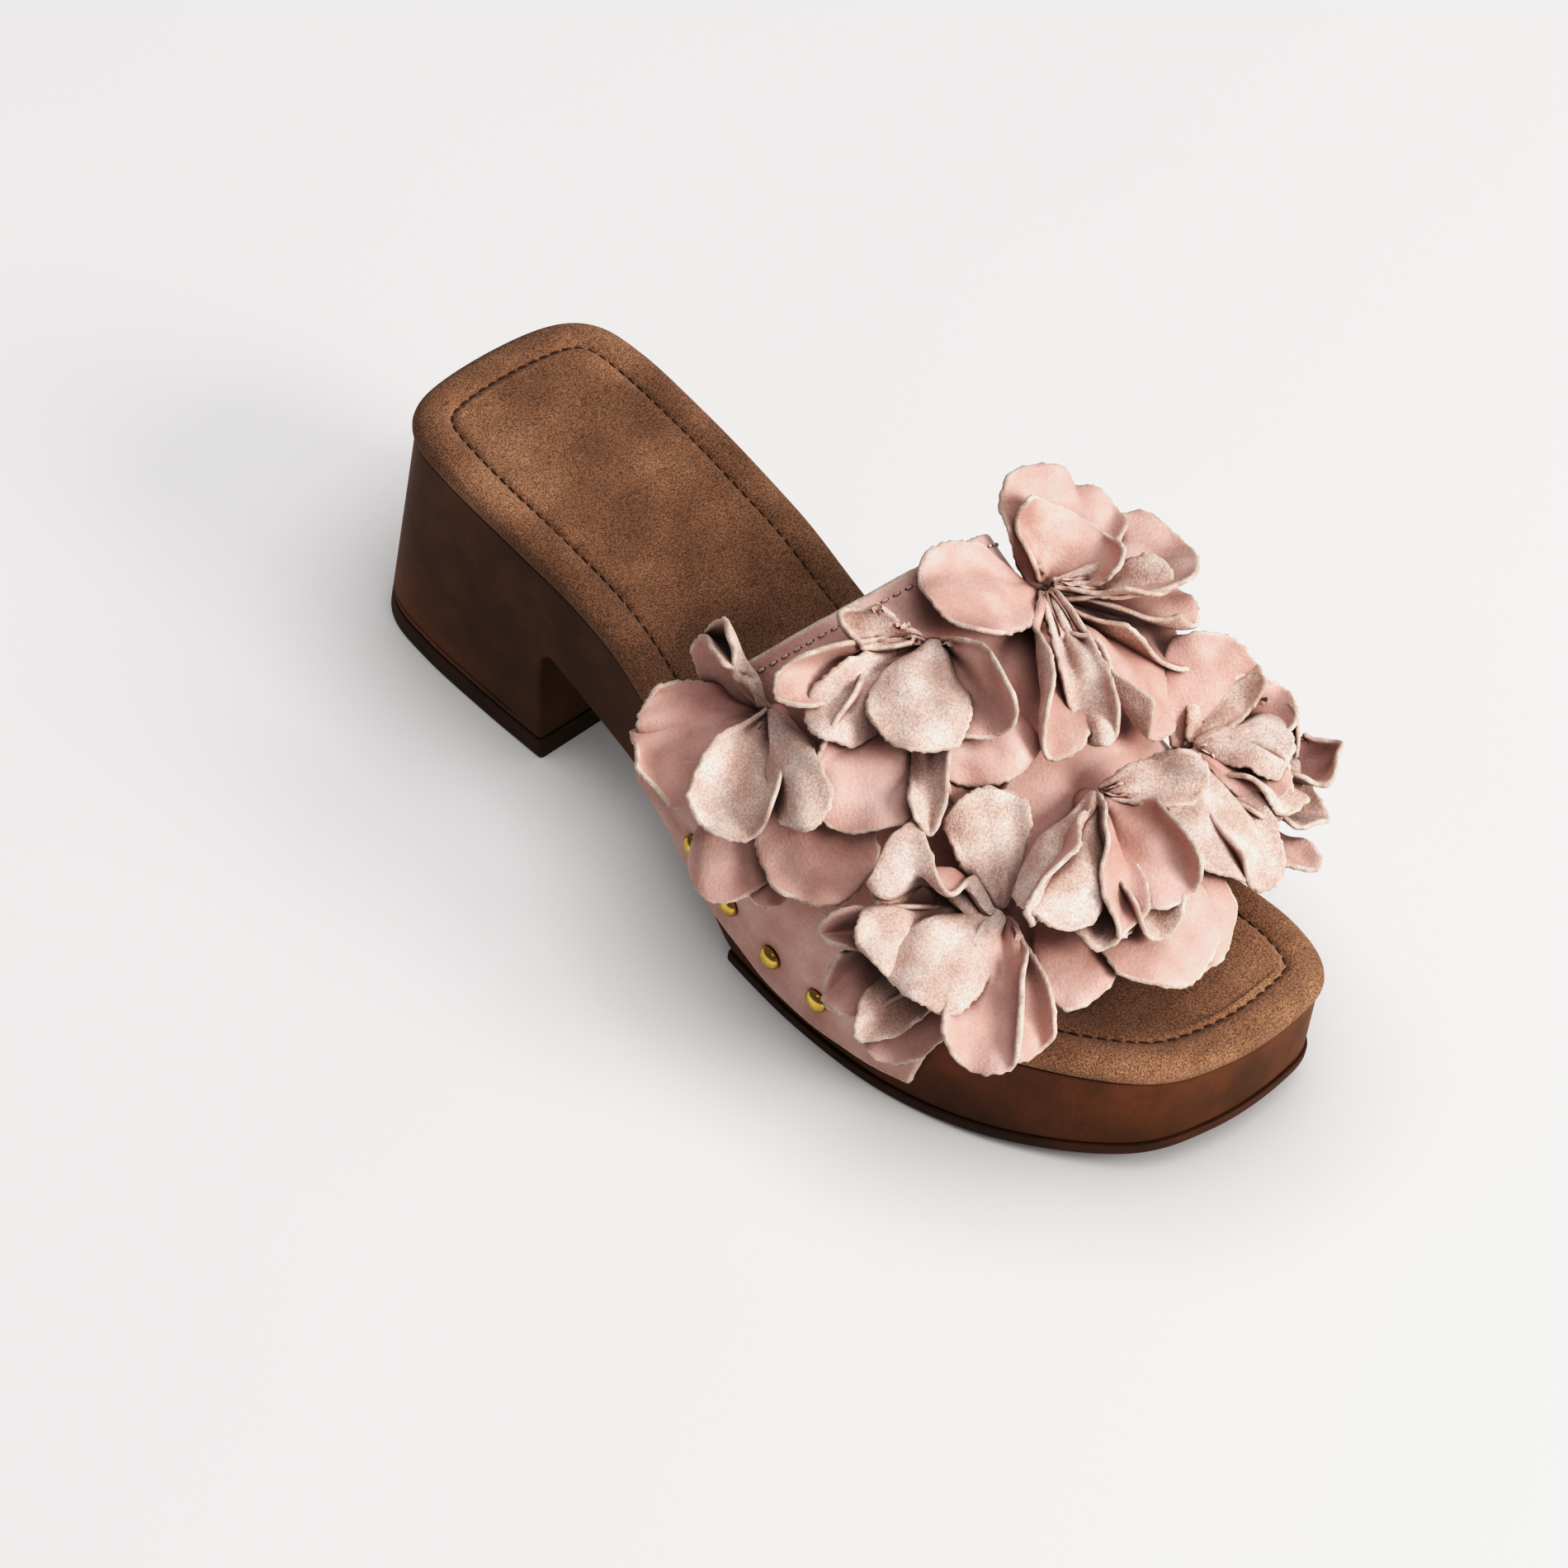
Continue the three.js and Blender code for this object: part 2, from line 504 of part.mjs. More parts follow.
// A sheet of even thickness: surface(a, b) is its outer face for a and b from 0 to 1, and
// the inner face lies thickness behind it. a and b are lists of places to sample.
function thickSheet(surface, as, bs, thickness) {
  const step = 1e-3;
  const outer = [];
  const inner = [];
  for (const a of as)
    for (const b of bs) {
      const point = surface(a, b);
      const alongA = surface(Math.min(1, a + step), b).sub(surface(Math.max(0, a - step), b));
      const alongB = surface(a, Math.min(1, b + step)).sub(surface(a, Math.max(0, b - step)));
      const normal = alongA.cross(alongB).normalize();
      outer.push(point);
      inner.push(point.clone().addScaledVector(normal, -thickness));
    }
  const [na, nb] = [as.length, bs.length];
  const half = na * nb;
  const triangles = [];
  const quad = (a, b, c, d) => triangles.push(a, b, c, a, c, d);
  const at = (i, j) => i * nb + j;
  for (let i = 0; i + 1 < na; i++)
    for (let j = 0; j + 1 < nb; j++) {
      quad(at(i, j), at(i + 1, j), at(i + 1, j + 1), at(i, j + 1));
      quad(half + at(i, j), half + at(i, j + 1), half + at(i + 1, j + 1), half + at(i + 1, j));
    }
  const edge = (p, q) => quad(p, q, half + q, half + p);
  for (let i = 0; i + 1 < na; i++) {
    edge(at(i + 1, 0), at(i, 0));
    edge(at(i, nb - 1), at(i + 1, nb - 1));
  }
  for (let j = 0; j + 1 < nb; j++) {
    edge(at(0, j), at(0, j + 1));
    edge(at(na - 1, j + 1), at(na - 1, j));
  }
  return geometryOf([...outer, ...inner], triangles);
}

// The base's half width at y on one side, with the x share of the outline's normal there.
function sideOf(y, side) {
  const { point, normal } = outlineAt(parameterAt(y, side));
  return { x: Math.abs(point.x), share: Math.abs(normal.x) };
}

const WALL_SHARE = 0.26; // of the way from a lower edge to the crest, up the side of the base

// Outer face of the vamp: out runs from -1, the lateral lower edge, over the crest at 0 to 1,
// the medial lower edge; run from the back edge to the front edge.
function vampPoint(out, run) {
  const row = (column) => between(VAMP, "run", column, run);
  const side = out < 0 ? 1 : -1;
  const away = Math.abs(out);
  const crestY = row("crest") * LENGTH;
  const crestX = -CREST_INWARD * (1 - run / 3);
  const crestZ = topEdge(crestY) + FOOTBED_THICKNESS + row("rise") * INSTEP_HEIGHT;
  const hemY = row(side > 0 ? "lateral" : "medial") * LENGTH;
  const archY = (x, z) => crestY + row("lean") * (z - crestZ) - row("skew") * (x - crestX);
  const cover = VAMP_WALL + VAMP_GAP;
  const guess = sideOf(hemY, side);
  const rimY = archY(side * guess.x, topEdge(hemY));
  const rim = sideOf(rimY, side);
  const rimZ = topEdge(rimY) + FOOTBED_THICKNESS * 0.55;
  const rimX = rim.x + (RIM_BULGE + cover) / rim.share;
  const hemZ = topEdge(hemY) - row("hem") * HEM_DROP;
  if (away > 1 - WALL_SHARE) {
    const up = (1 - away) / WALL_SHARE;
    const z = lerp(hemZ, rimZ, up);
    const y = lerp(hemY, rimY, smoothstep(0, 1, up) * 0.5 + up * 0.5);
    const here = sideOf(y, side);
    const outwards = Math.max(flare(y, z), RIM_BULGE * up) + cover;
    return new THREE.Vector3(side * (here.x + outwards / here.share), y, z);
  }
  const turn = (Math.PI / 2) * (1 - away / (1 - WALL_SHARE));
  const power = side > 0 ? LATERAL_ROUNDNESS : MEDIAL_ROUNDNESS;
  const up = Math.sin(turn) ** power;
  const reach = rimX - side * crestX;
  const swell = (side > 0 ? LATERAL_BULGE : MEDIAL_BULGE) * Math.sin(Math.PI * up) * row("rise");
  const x = crestX + side * (reach * Math.cos(turn) ** power + swell);
  const z = rimZ + (crestZ - rimZ) * up;
  return new THREE.Vector3(x, archY(x, z), z);
}

const spread = (n) => Array.from({ length: n + 1 }, (_, i) => i / n);

// Samples across the vamp from its medial to its lateral edge, closer together on the walls.
const VAMP_ACROSS = spread(20).map((t) => t - 0.05 * Math.sin(2 * Math.PI * t));
const VAMP_ALONG = spread(9);

function makeVamp() {
  return thickSheet((a, b) => vampPoint(1 - 2 * a, b), VAMP_ACROSS, VAMP_ALONG, VAMP_WALL);
}

// Point on the vamp with its directions towards the toe, the lateral side and outwards.
function vampFrame(out, run) {
  const step = 1e-3;
  const point = vampPoint(out, run);
  const across = vampPoint(out - step, run).sub(vampPoint(out + step, run));
  const forward = vampPoint(out, Math.min(1, run + step)).sub(vampPoint(out, Math.max(0, run - step)));
  return { point, up: across.cross(forward).normalize(), forward: forward.normalize() };
}

// A matrix that stands an object on the point with its z axis along up and y along forward.
function standing(point, up, forward) {
  const ahead = forward.clone().addScaledVector(up, -forward.dot(up)).normalize();
  const lateral = ahead.clone().cross(up);
  return new THREE.Matrix4().makeBasis(lateral, ahead, up).setPosition(point);
}

const ROUND_SIDES = 8;

// A profile of radius and height, turned about the z axis.
function turned(profile) {
  const points = profile.map(([x, y]) => new THREE.Vector2(x, y));
  return new THREE.LatheGeometry(points, ROUND_SIDES).rotateX(Math.PI / 2);
}

// A domed stud on the z axis.
function studGeometry() {
  const r = STUD_DIAMETER / 2;
  const profile = [
    [0, 0],
    [r * 0.96, 0],
    [r, STUD_HEIGHT * 0.2],
    [r * 0.72, STUD_HEIGHT * 0.78],
    [0, STUD_HEIGHT],
  ];
  return turned(profile);
}

// Studs sit evenly between the vamp's back and front edge, a set distance above its lower edge.
function addStuds(name, side) {
  for (let i = 0; i < STUDS_PER_SIDE; i++) {
    const run = lerp(STUD_FIRST, STUD_LAST, i / (STUDS_PER_SIDE - 1));
    const edge = vampPoint(-side, run);
    const top = vampPoint(-side * (1 - WALL_SHARE), run);
    const out = -side * (1 - (WALL_SHARE * STUD_INSET) / edge.distanceTo(top));
    const { point, up, forward } = vampFrame(out, run);
    const placed = studGeometry().applyMatrix4(standing(point.addScaledVector(up, SEAM_GAP), up, forward));
    add(`${name}_${i + 1}`, geometryFrom(solid(placed)), brass);
  }
}

// Width of a petal along its length, as a share of its widest: narrow at the hub, round at the tip.
const PETAL_SHAPE = [
  { at: 0, width: 0.3 },
  { at: 0.35, width: 0.8 },
  { at: 0.75, width: 1 },
  { at: 1, width: 0.36 },
];

// A petal from the hub on the z axis; spare makes it thicker and longer by that much all round.
function petalGeometry(row, spare) {
  const half = (row.wide * PETAL_WIDTH) / 2 + spare;
  const long = row.long * PETAL_LENGTH + spare;
  const thick = PETAL_THICKNESS + 2 * spare;
  const curl = rad(row.curl) || 1e-6;
  const start = rad(row.rise);
  const cup = rad(row.cup) / 2 || 1e-6;
  const turn = rad(row.turn);
  const base = HUB_HEIGHT * 0.3 + row.layer * LAYER_STEP;
  const surface = (a, b) => {
    const angle = start + curl * a;
    const radiusAlong = long / curl;
    const reach = HUB_RADIUS * 0.4 + radiusAlong * (Math.sin(angle) - Math.sin(start));
    const height = base + radiusAlong * (Math.cos(start) - Math.cos(angle));
    const width = half * between(PETAL_SHAPE, "at", "width", a) * (2 * b - 1);
    const bend = cup * (2 * b - 1);
    const radius = width / (bend || 1e-9);
    const [sideways, lift] = [radius * Math.sin(bend), radius * (1 - Math.cos(bend))];
    const roll = rad(row.tilt + row.twist * a);
    const out = sideways * Math.cos(roll) - lift * Math.sin(roll);
    const up = sideways * Math.sin(roll) + lift * Math.cos(roll) + thick / 2;
    const r = reach - up * Math.sin(angle);
    const z = height + up * Math.cos(angle);
    const [x, y] = [r * Math.sin(turn) + out * Math.cos(turn), r * Math.cos(turn) - out * Math.sin(turn)];
    return new THREE.Vector3(x, y, z);
  };
  const along = PETAL_SHAPE.map((p) => p.at);
  return thickSheet((a, b) => surface(a, 1 - b), along, spread(3), thick);
}

// The hub: a low dome, sunk until the vamp's cover cuts it to shape.
function hubGeometry(spare) {
  const r = HUB_RADIUS + spare;
  return turned([
    [0, -HUB_HEIGHT * 0.6],
    [r, -HUB_HEIGHT * 0.6],
    [r, HUB_HEIGHT * 0.4],
    [r * 0.7, HUB_HEIGHT * 0.8],
    [0, HUB_HEIGHT + spare],
  ]);
}

// What a flower keeps clear of: the vamp with the seam gap over it.
const vampCover = solid(
  thickSheet(
    (a, b) => {
      const { point, up } = vampFrame(0.999 - 1.998 * a, b);
      return point.addScaledVector(up, SEAM_GAP);
    },
    VAMP_ACROSS,
    VAMP_ALONG,
    HUB_HEIGHT,
  ),
);

function addFlowers() {
  const taken = [vampCover];
  FLOWERS.forEach(({ out, run, petals }, i) => {
    const { point, up, forward } = vampFrame(out, run);
    const axis = up.clone().add(new THREE.Vector3(0, 0, 1)).normalize();
    const place = standing(point, axis, forward);
    const placed = (geometry) => solid(geometry.applyMatrix4(place));
    const whole = (spare) =>
      petals
        .map((row) => placed(petalGeometry(row, spare)))
        .reduce((sum, petal) => sum.add(petal), placed(hubGeometry(spare)));
    const cut = taken.reduce((rest, other) => rest.subtract(other), whole(0));
    const largest = cut.decompose().reduce((a, b) => (a.volume() > b.volume() ? a : b));
    taken.push(whole(SEAM_GAP));
    add(`flower_${i + 1}`, geometryFrom(largest), leather);
  });
}

const soleGroup = new THREE.Group();
function add(name, geometry, material) {
  const mesh = new THREE.Mesh(geometry, material);
  mesh.name = name;
  soleGroup.add(mesh);
}

const baseMaterial = new THREE.MeshStandardMaterial({ color: 0x5a3220, roughness: 0.5 });
const rubber = new THREE.MeshStandardMaterial({ color: 0x3c2418, roughness: 0.7 });
const suede = new THREE.MeshStandardMaterial({ color: 0x80604a, roughness: 0.95 });
const leather = new THREE.MeshStandardMaterial({ color: 0xcda59e, roughness: 0.55 });
const brass = new THREE.MeshStandardMaterial({ color: 0xb8963e, roughness: 0.25, metalness: 1 });

add("sole", makeSole(), baseMaterial);
add("heel_top_piece", makeHeelTopPiece(), rubber);
add("outsole", makeOutsole(), rubber);
add("footbed", makeFootbed(), suede);
add("vamp", makeVamp(), leather);
addStuds("stud_lateral", 1);
addStuds("stud_medial", -1);
addFlowers();

const shoe = new THREE.Group();
soleGroup.position.y = -HEEL_SEAT_LENGTH / 2 + HEEL_FLARE / 2;
shoe.add(soleGroup);
export default shoe;
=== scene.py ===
"""Looks of a women's heeled mule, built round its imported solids.

Lengths are millimetres in the shoe's drawing frame, where y starts at the back of the base's
top edge. place() turns them into metres in the part's frame.
"""

import math

import bmesh
import bpy
import numpy as np
from mathutils import Matrix, Vector
from mathutils.bvhtree import BVHTree


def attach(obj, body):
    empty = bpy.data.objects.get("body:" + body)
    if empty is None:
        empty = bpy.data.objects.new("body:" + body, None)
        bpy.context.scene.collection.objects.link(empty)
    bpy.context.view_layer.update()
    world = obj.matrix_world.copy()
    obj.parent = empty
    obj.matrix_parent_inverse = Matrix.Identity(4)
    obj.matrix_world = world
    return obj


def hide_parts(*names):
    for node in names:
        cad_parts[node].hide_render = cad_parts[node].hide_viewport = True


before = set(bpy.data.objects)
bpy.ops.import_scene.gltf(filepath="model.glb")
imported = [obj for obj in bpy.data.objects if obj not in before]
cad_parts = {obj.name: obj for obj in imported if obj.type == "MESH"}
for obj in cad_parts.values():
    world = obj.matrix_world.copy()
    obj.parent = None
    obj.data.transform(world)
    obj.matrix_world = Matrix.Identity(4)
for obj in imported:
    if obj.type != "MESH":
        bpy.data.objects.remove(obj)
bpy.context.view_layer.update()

# Sole
LENGTH = 250.0
BALL_WIDTH = 88.0
HEEL_WIDTH = 63.0
HEEL_HEIGHT = 60.5
BALL_HEIGHT = 24.6
TOE_RISE = 6.2
HEEL_FLARE = 2.8
FORE_FLARE = 0.6
HEEL_SEAT_LENGTH = 64.5
BREAST_LEAN = 4.5
ARCH_HEIGHT = 33.0
ARCH_CORNER = 3.0
TOP_PIECE_THICKNESS = 5.5
OUTSOLE_LENGTH = 112.0
OUTSOLE_THICKNESS = 3.0
OUTSOLE_PROUD = 0.5
SPRING_LENGTH = 65.0
TOE_SPRING = 7.5
EDGE_ROUND = 0.8
INNER_LIFT_ROUND = 0.6  # share of the rounding on a layer's edge that meets the base
INNER_OUTSOLE_ROUND = 0.5
EDGE_STEPS = np.array([0, 0.06, 0.2, 0.45, 0.8])  # depths of the rows down a rounded edge
BREAST_STEPS = np.array([0.8, 0.4, 0.15, 0.0])
GROOVE_HEIGHT = 7.8
GROOVE_DEPTH = 0.35
GROOVE_STOP = 7.0  # the groove ends this far behind the breast

# Footbed
FOOTBED_THICKNESS = 6.0
RIM_BULGE = 0.8
DISH_DEPTH = 0.7
STITCH_PITCH = 3.2
STITCH_INSET = 8.4
STITCH_LEVEL = 0.8  # share of the footbed's thickness

# Vamp
VAMP_WALL = 2.0
INSTEP_HEIGHT = 63.0
HEM_DROP = 16.0
CREST_INWARD = 19.0
LATERAL_BULGE = 2.0
MEDIAL_BULGE = 9.0
LATERAL_ROUNDNESS = 0.95
MEDIAL_ROUNDNESS = 0.68
WALL_SHARE = 0.26
SEAM_GAP = 0.3
VAMP_GAP = 0.5
EDGE_STITCH_INSET = 2.4
VAMP_TEAR = 0.1

# Studs
STUDS_PER_SIDE = 6
STUD_DIAMETER = 6.0
STUD_HEIGHT = 2.4
STUD_INSET = 9.0
STUD_FIRST = 0.09
STUD_LAST = 0.865
STUD_FOOT = 0.4  # height of the straight edge below the dome
STUD_SINK = 0.05
DENT_DEPTH = 0.45
DENT_RADIUS = 4.2
LIP_HEIGHT = 0.28
LIP_RADIUS = 8.0
LIP_WIDTH = 3.5

# Flowers
PETAL_LENGTH = 27.0
PETAL_WIDTH = 22.0
PETAL_THICKNESS = 1.3
HUB_RADIUS = 4.5
HUB_HEIGHT = 4.5
LAYER_STEP = 1.5
TEAR_PITCH = 0.7
PETAL_TEAR = 0.65
PETAL_CLEARANCE = 0.35
LAYER_CLEARANCE = 0.12
SHORTENING = 0.99  # of the length in the solids
CUP_DEPTH = 1.4
HUB_GATHER = 1.6
MOST_ROLL = math.radians(115)
LOOSE_CURL = (-35, 60)  # degrees that an edge with no turn of its own may curl
RUFFLE_HEIGHT = 1.8
PLEAT_HEIGHT = 0.7
LEAST_WAVE = 0.35

ORIGIN_Y = HEEL_SEAT_LENGTH / 2 - HEEL_FLARE / 2
MM = 0.001


def table(columns, *rows):
    return [dict(zip(columns.split(), row)) for row in rows]


OUTLINE = table(
    "along across of",
    (0.0, 0.0, HEEL_WIDTH),
    (0.0062, 0.613, HEEL_WIDTH),
    (0.034, 0.9, HEEL_WIDTH),
    (0.093, 0.994, HEEL_WIDTH),
    (0.183, 1.016, HEEL_WIDTH),
    (0.302, 1.013, HEEL_WIDTH),
    (0.419, 0.789, BALL_WIDTH),
    (0.536, 0.936, BALL_WIDTH),
    (0.654, 0.998, BALL_WIDTH),
    (0.764, 0.941, BALL_WIDTH),
    (0.869, 0.723, BALL_WIDTH),
    (0.962, 0.332, BALL_WIDTH),
    (0.994, -0.091, BALL_WIDTH),
    (0.9995, -0.548, BALL_WIDTH),
    (0.985, -0.861, BALL_WIDTH),
    (0.925, -1.002, BALL_WIDTH),
    (0.824, -0.986, BALL_WIDTH),
    (0.703, -0.92, BALL_WIDTH),
    (0.562, -0.818, BALL_WIDTH),
    (0.422, -0.707, BALL_WIDTH),
    (0.302, -0.959, HEEL_WIDTH),
    (0.183, -0.987, HEEL_WIDTH),
    (0.093, -1.0, HEEL_WIDTH),
    (0.038, -0.917, HEEL_WIDTH),
    (0.0096, -0.613, HEEL_WIDTH),
)

PROFILE = table(
    "along heel toe",
    (-0.05, 1.0, 0),
    (0.1, 0.95, 0),
    (0.22, 0.868, 0),
    (0.32, 0.728, 0),
    (0.42, 0.418, 0),
    (0.52, 0.122, 0),
    (0.64, 0, 0),
    (0.8, 0, 0.5),
    (1.05, 0, 1),
)

ARCH = table(
    "run height",
    (0, 1),
    (0.22, 0.83),
    (0.44, 0.69),
    (0.75, 0.41),
    (0.9, 0.17),
    (1, 0),
)

VAMP = table(
    "run lateral medial crest rise hem lean skew",
    (0, 0.391, 0.4, 0.545, 1, 1.08, 0.58, 0.1),
    (0.3, 0.512, 0.53, 0.632, 0.86, 0.92, 0.45, 0.1),
    (0.65, 0.65, 0.67, 0.74, 0.6, 0.98, 0.32, 0.1),
    (1, 0.784, 0.825, 0.845, 0.28, 1.05, 0.25, 0.1),
)

# Petals of each flower: left and right turn that side's edge up, tip turns the end up, and face is
# the side of the leather that looks up: g grain, s suede.
PETAL_COLUMNS = "turn rise curl tip sweep tilt twist cup left right long wide layer face wave"
FLOWERS = [
    (0.25, 0.22, table(
        PETAL_COLUMNS,
        (219, 50, -20, 0, 0, 0, 0, -30, 0, -20, 1.06, 1.15, 1, "g", 0.4),
        (255, 38, -16, 0, 0, 0, 0, -15, 0, 0, 1.08, 0.9, 1, "g", 0.3),
        (250, 56, -10, 0, 0, 0, 0, 50, 20, 70, 0.64, 1.5, 2, "g", 0.6),
        (304, 38, -12, 0, 0, 10, 0, 22, 5, 15, 1.36, 1.35, 0, "g", 0.5),
        (328, 34, -10, 20, 0, -20, 0, 30, 0, 0, 1.0, 0.55, 3, "s", 0.5),
        (322, 14, -12, 30, 0, 0, 0, 60, 20, 40, 1.34, 0.95, 1, "g", 0.6),
        (334, 4, -8, 0, 0, 0, 0, 30, 0, 0, 1.38, 0.9, 0, "g", 0.8),
        (8, 0, -16, 0, 0, 0, 0, -20, 0, 150, 1.55, 1.15, 1, "g", 0.8),
        (38, 2, -18, 0, 0, -45, 0, 30, 0, 0, 1.66, 0.55, 2, "s", 0.8),
        (56, -2, -20, 0, -10, 10, 0, 20, 0, 90, 1.74, 0.7, 1, "g", 1.0),
        (114, 18, -34, 0, 0, 0, 0, -10, 0, 0, 1.3, 1.2, 0, "g", 0.3),
    )),
    (-0.13, 0.22, table(
        PETAL_COLUMNS,
        (120, 22, -10, 60, 0, 0, 20, 110, 0, 0, 0.98, 0.6, 1, "s", 1.0),
        (2, 34, -50, 0, 0, -50, 0, 50, 0, 0, 1.0, 1.0, 3, "g", 0.4),
        (48, 24, -34, 0, 0, 0, 0, -25, 0, 0, 1.14, 1.0, 4, "s", 0.3),
        (7, 6, -18, 0, 0, 0, 0, -30, 0, 0, 1.25, 1.15, 1, "g", 0.8),
        (98, 14, -14, 0, 0, 20, 0, 30, 0, 60, 1.5, 0.65, 1, "g", 0.6),
        (80, 12, -18, 0, 0, 10, 0, -40, 0, 0, 1.38, 0.75, 2, "s", 0.8),
        (60, 2, -20, 0, 0, 0, 0, -30, 0, 130, 1.78, 1.35, 1, "g", 1.2),
        (35, 4, -14, 0, 0, -20, 0, 40, 0, 0, 1.66, 0.4, 2, "s", 0.8),
        (18, 2, -18, 0, 0, 0, 0, -10, 0, 110, 1.42, 0.85, 0, "g", 0.8),
    )),
    (-0.44, 0.15, table(
        PETAL_COLUMNS,
        (178, 44, 8, 0, 0, 72, 10, 40, 0, 0, 0.88, 0.7, 2, "g", 0.5),
        (160, 40, 8, 0, 0, 66, 10, 45, 0, 0, 0.86, 0.8, 1, "g", 0.5),
        (108, 18, -10, 0, 0, 20, 0, -35, 0, 0, 1.08, 0.8, 0, "g", 0.5),
        (88, 8, -4, 60, 0, 10, 0, -20, 0, 0, 1.28, 0.95, 1, "g", 0.5),
        (40, 20, -16, 0, 0, 8, 0, 70, 0, 0, 1.22, 1.15, 2, "s", 0.5),
        (5, 34, -34, 0, 0, -20, 0, -80, 0, 0, 1.3, 0.65, 4, "s", 0.3),
        (42, -2, -10, 0, 0, 0, 0, -30, 0, 0, 1.6, 0.9, 1, "g", 0.6),
        (27, -8, -8, 0, 0, 0, 0, -20, 0, 0, 1.55, 0.7, 0, "g", 0.5),
        (6, 6, -16, 0, 0, 0, 0, -30, 0, 0, 1.7, 1.15, 1, "g", 0.7),
    )),
    (-0.3, 0.88, table(
        PETAL_COLUMNS,
        (148, 26, -12, 0, 0, 62, 20, 30, 0, 0, 1.15, 0.6, 3, "s", 3.6),
        (209, 42, -20, 0, 0, 0, 0, -25, 0, 0, 1.0, 0.85, 3, "s", 0.3),
        (126, 10, -12, 0, 0, 20, 0, 50, 0, 60, 1.46, 0.55, 0, "g", 0.8),
        (114, 24, -18, 0, 0, 0, 10, -70, 0, -30, 1.3, 0.95, 2, "s", 1.0),
        (88, 22, -20, 0, 0, 0, 0, -30, 0, 0, 1.2, 1.0, 4, "s", 0.5),
        (106, 2, -16, 0, 0, 0, 0, 40, 40, 0, 1.56, 0.8, 0, "g", 1.2),
        (92, 6, -18, 0, 0, 10, 0, 80, 0, 0, 1.55, 0.55, 1, "s", 0.8),
        (86, -2, -16, 0, 0, 0, 0, -30, 0, 0, 1.5, 0.85, 0, "g", 0.8),
        (51, 12, -20, 0, 0, 0, 0, 30, 150, 0, 1.4, 1.1, 3, "g", 0.6),
        (36, 2, -20, 0, 0, 0, 0, 40, 30, 20, 1.16, 0.9, 1, "g", 0.6),
    )),
    (-0.03, 0.75, table(
        PETAL_COLUMNS,
        (302, 36, -12, 0, 0, -20, 0, 30, 0, 0, 0.9, 0.6, 3, "s", 0.5),
        (8, 34, -48, 0, 0, -20, 0, -30, 110, 0, 1.2, 1.1, 3, "g", 0.4),
        (357, 2, -14, 0, 0, 0, 0, -10, 0, 0, 1.66, 1.25, 0, "g", 0.3),
        (10, 4, -16, 0, 0, 0, 0, -10, 0, 0, 1.72, 1.3, 1, "g", 0.3),
        (39, 16, -22, 0, 0, 0, 0, 50, 0, 0, 1.42, 0.8, 1, "s", 0.6),
        (16, 14, -18, 0, 0, 0, 0, 60, 0, 0, 1.36, 0.8, 2, "s", 0.6),
        (42, 0, -16, 0, 0, 0, 0, -20, 0, 0, 1.8, 0.85, 0, "g", 0.5),
        (59, 30, -36, 0, 0, -15, 0, -60, 0, 0, 1.55, 1.0, 3, "s", 0.6),
        (65, 30, -36, 0, 0, 55, 0, 60, 0, 0, 1.6, 0.55, 2, "s", 0.8),
        (34, 26, -32, 0, 0, 40, 0, 40, 0, 0, 1.4, 0.6, 3, "g", 0.5),
    )),
    (0.35, 0.75, table(
        PETAL_COLUMNS,
        (235, 54, -6, 0, 0, 0, 0, -15, 0, 0, 1.03, 1.05, 1, "g", 0.3),
        (258, 40, -4, 0, 0, 0, 10, 35, 0, 0, 0.88, 0.8, 3, "s", 0.5),
        (287, 30, 4, 0, 0, 0, 0, 70, 0, 0, 1.06, 0.9, 1, "g", 0.5),
        (304, 20, 4, 90, 0, 0, 0, 80, 0, 0, 1.15, 0.85, 1, "g", 0.5),
        (320, 44, -34, 0, 0, 0, 0, -40, 0, 0, 0.8, 1.0, 4, "s", 0.3),
        (345, 20, -16, 0, 0, -40, 0, 30, 0, 0, 0.85, 0.6, 3, "g", 0.4),
        (338, 20, -24, 0, 0, 0, 0, -40, 0, 0, 1.05, 0.75, 2, "s", 0.6),
        (345, 10, -16, 0, 0, -40, 0, 40, 0, 0, 0.95, 0.6, 2, "g", 0.6),
        (318, 10, -4, 100, 0, 0, 0, 60, 0, 0, 1.55, 0.75, 1, "g", 0.6),
        (331, 4, -14, 40, 0, 0, 0, 40, 0, 0, 1.36, 0.85, 0, "s", 0.8),
        (36, 6, -24, 0, 0, 0, 0, -35, 0, 0, 1.3, 1.2, 2, "s", 0.6),
        (18, 2, -20, 0, 0, 0, 0, 30, 0, 0, 1.35, 0.95, 1, "s", 0.6),
        (352, -4, -16, 60, 0, 0, 0, 50, 0, 0, 1.5, 0.5, 0, "g", 0.8),
    )),
]

# Places on the vamp, as out and run
PINHOLES = [(0.12, 0.17), (0.105, 0.21), (0.13, 0.25), (-0.32, 0.12), (-0.33, 0.17)]

PETAL_SHAPE = table(
    "at width",
    (0, 0.22),
    (0.2, 0.52),
    (0.45, 0.87),
    (0.68, 1.0),
    (0.84, 0.97),
    (1, 0.8),
)
TIP_ROUNDING = 0.17


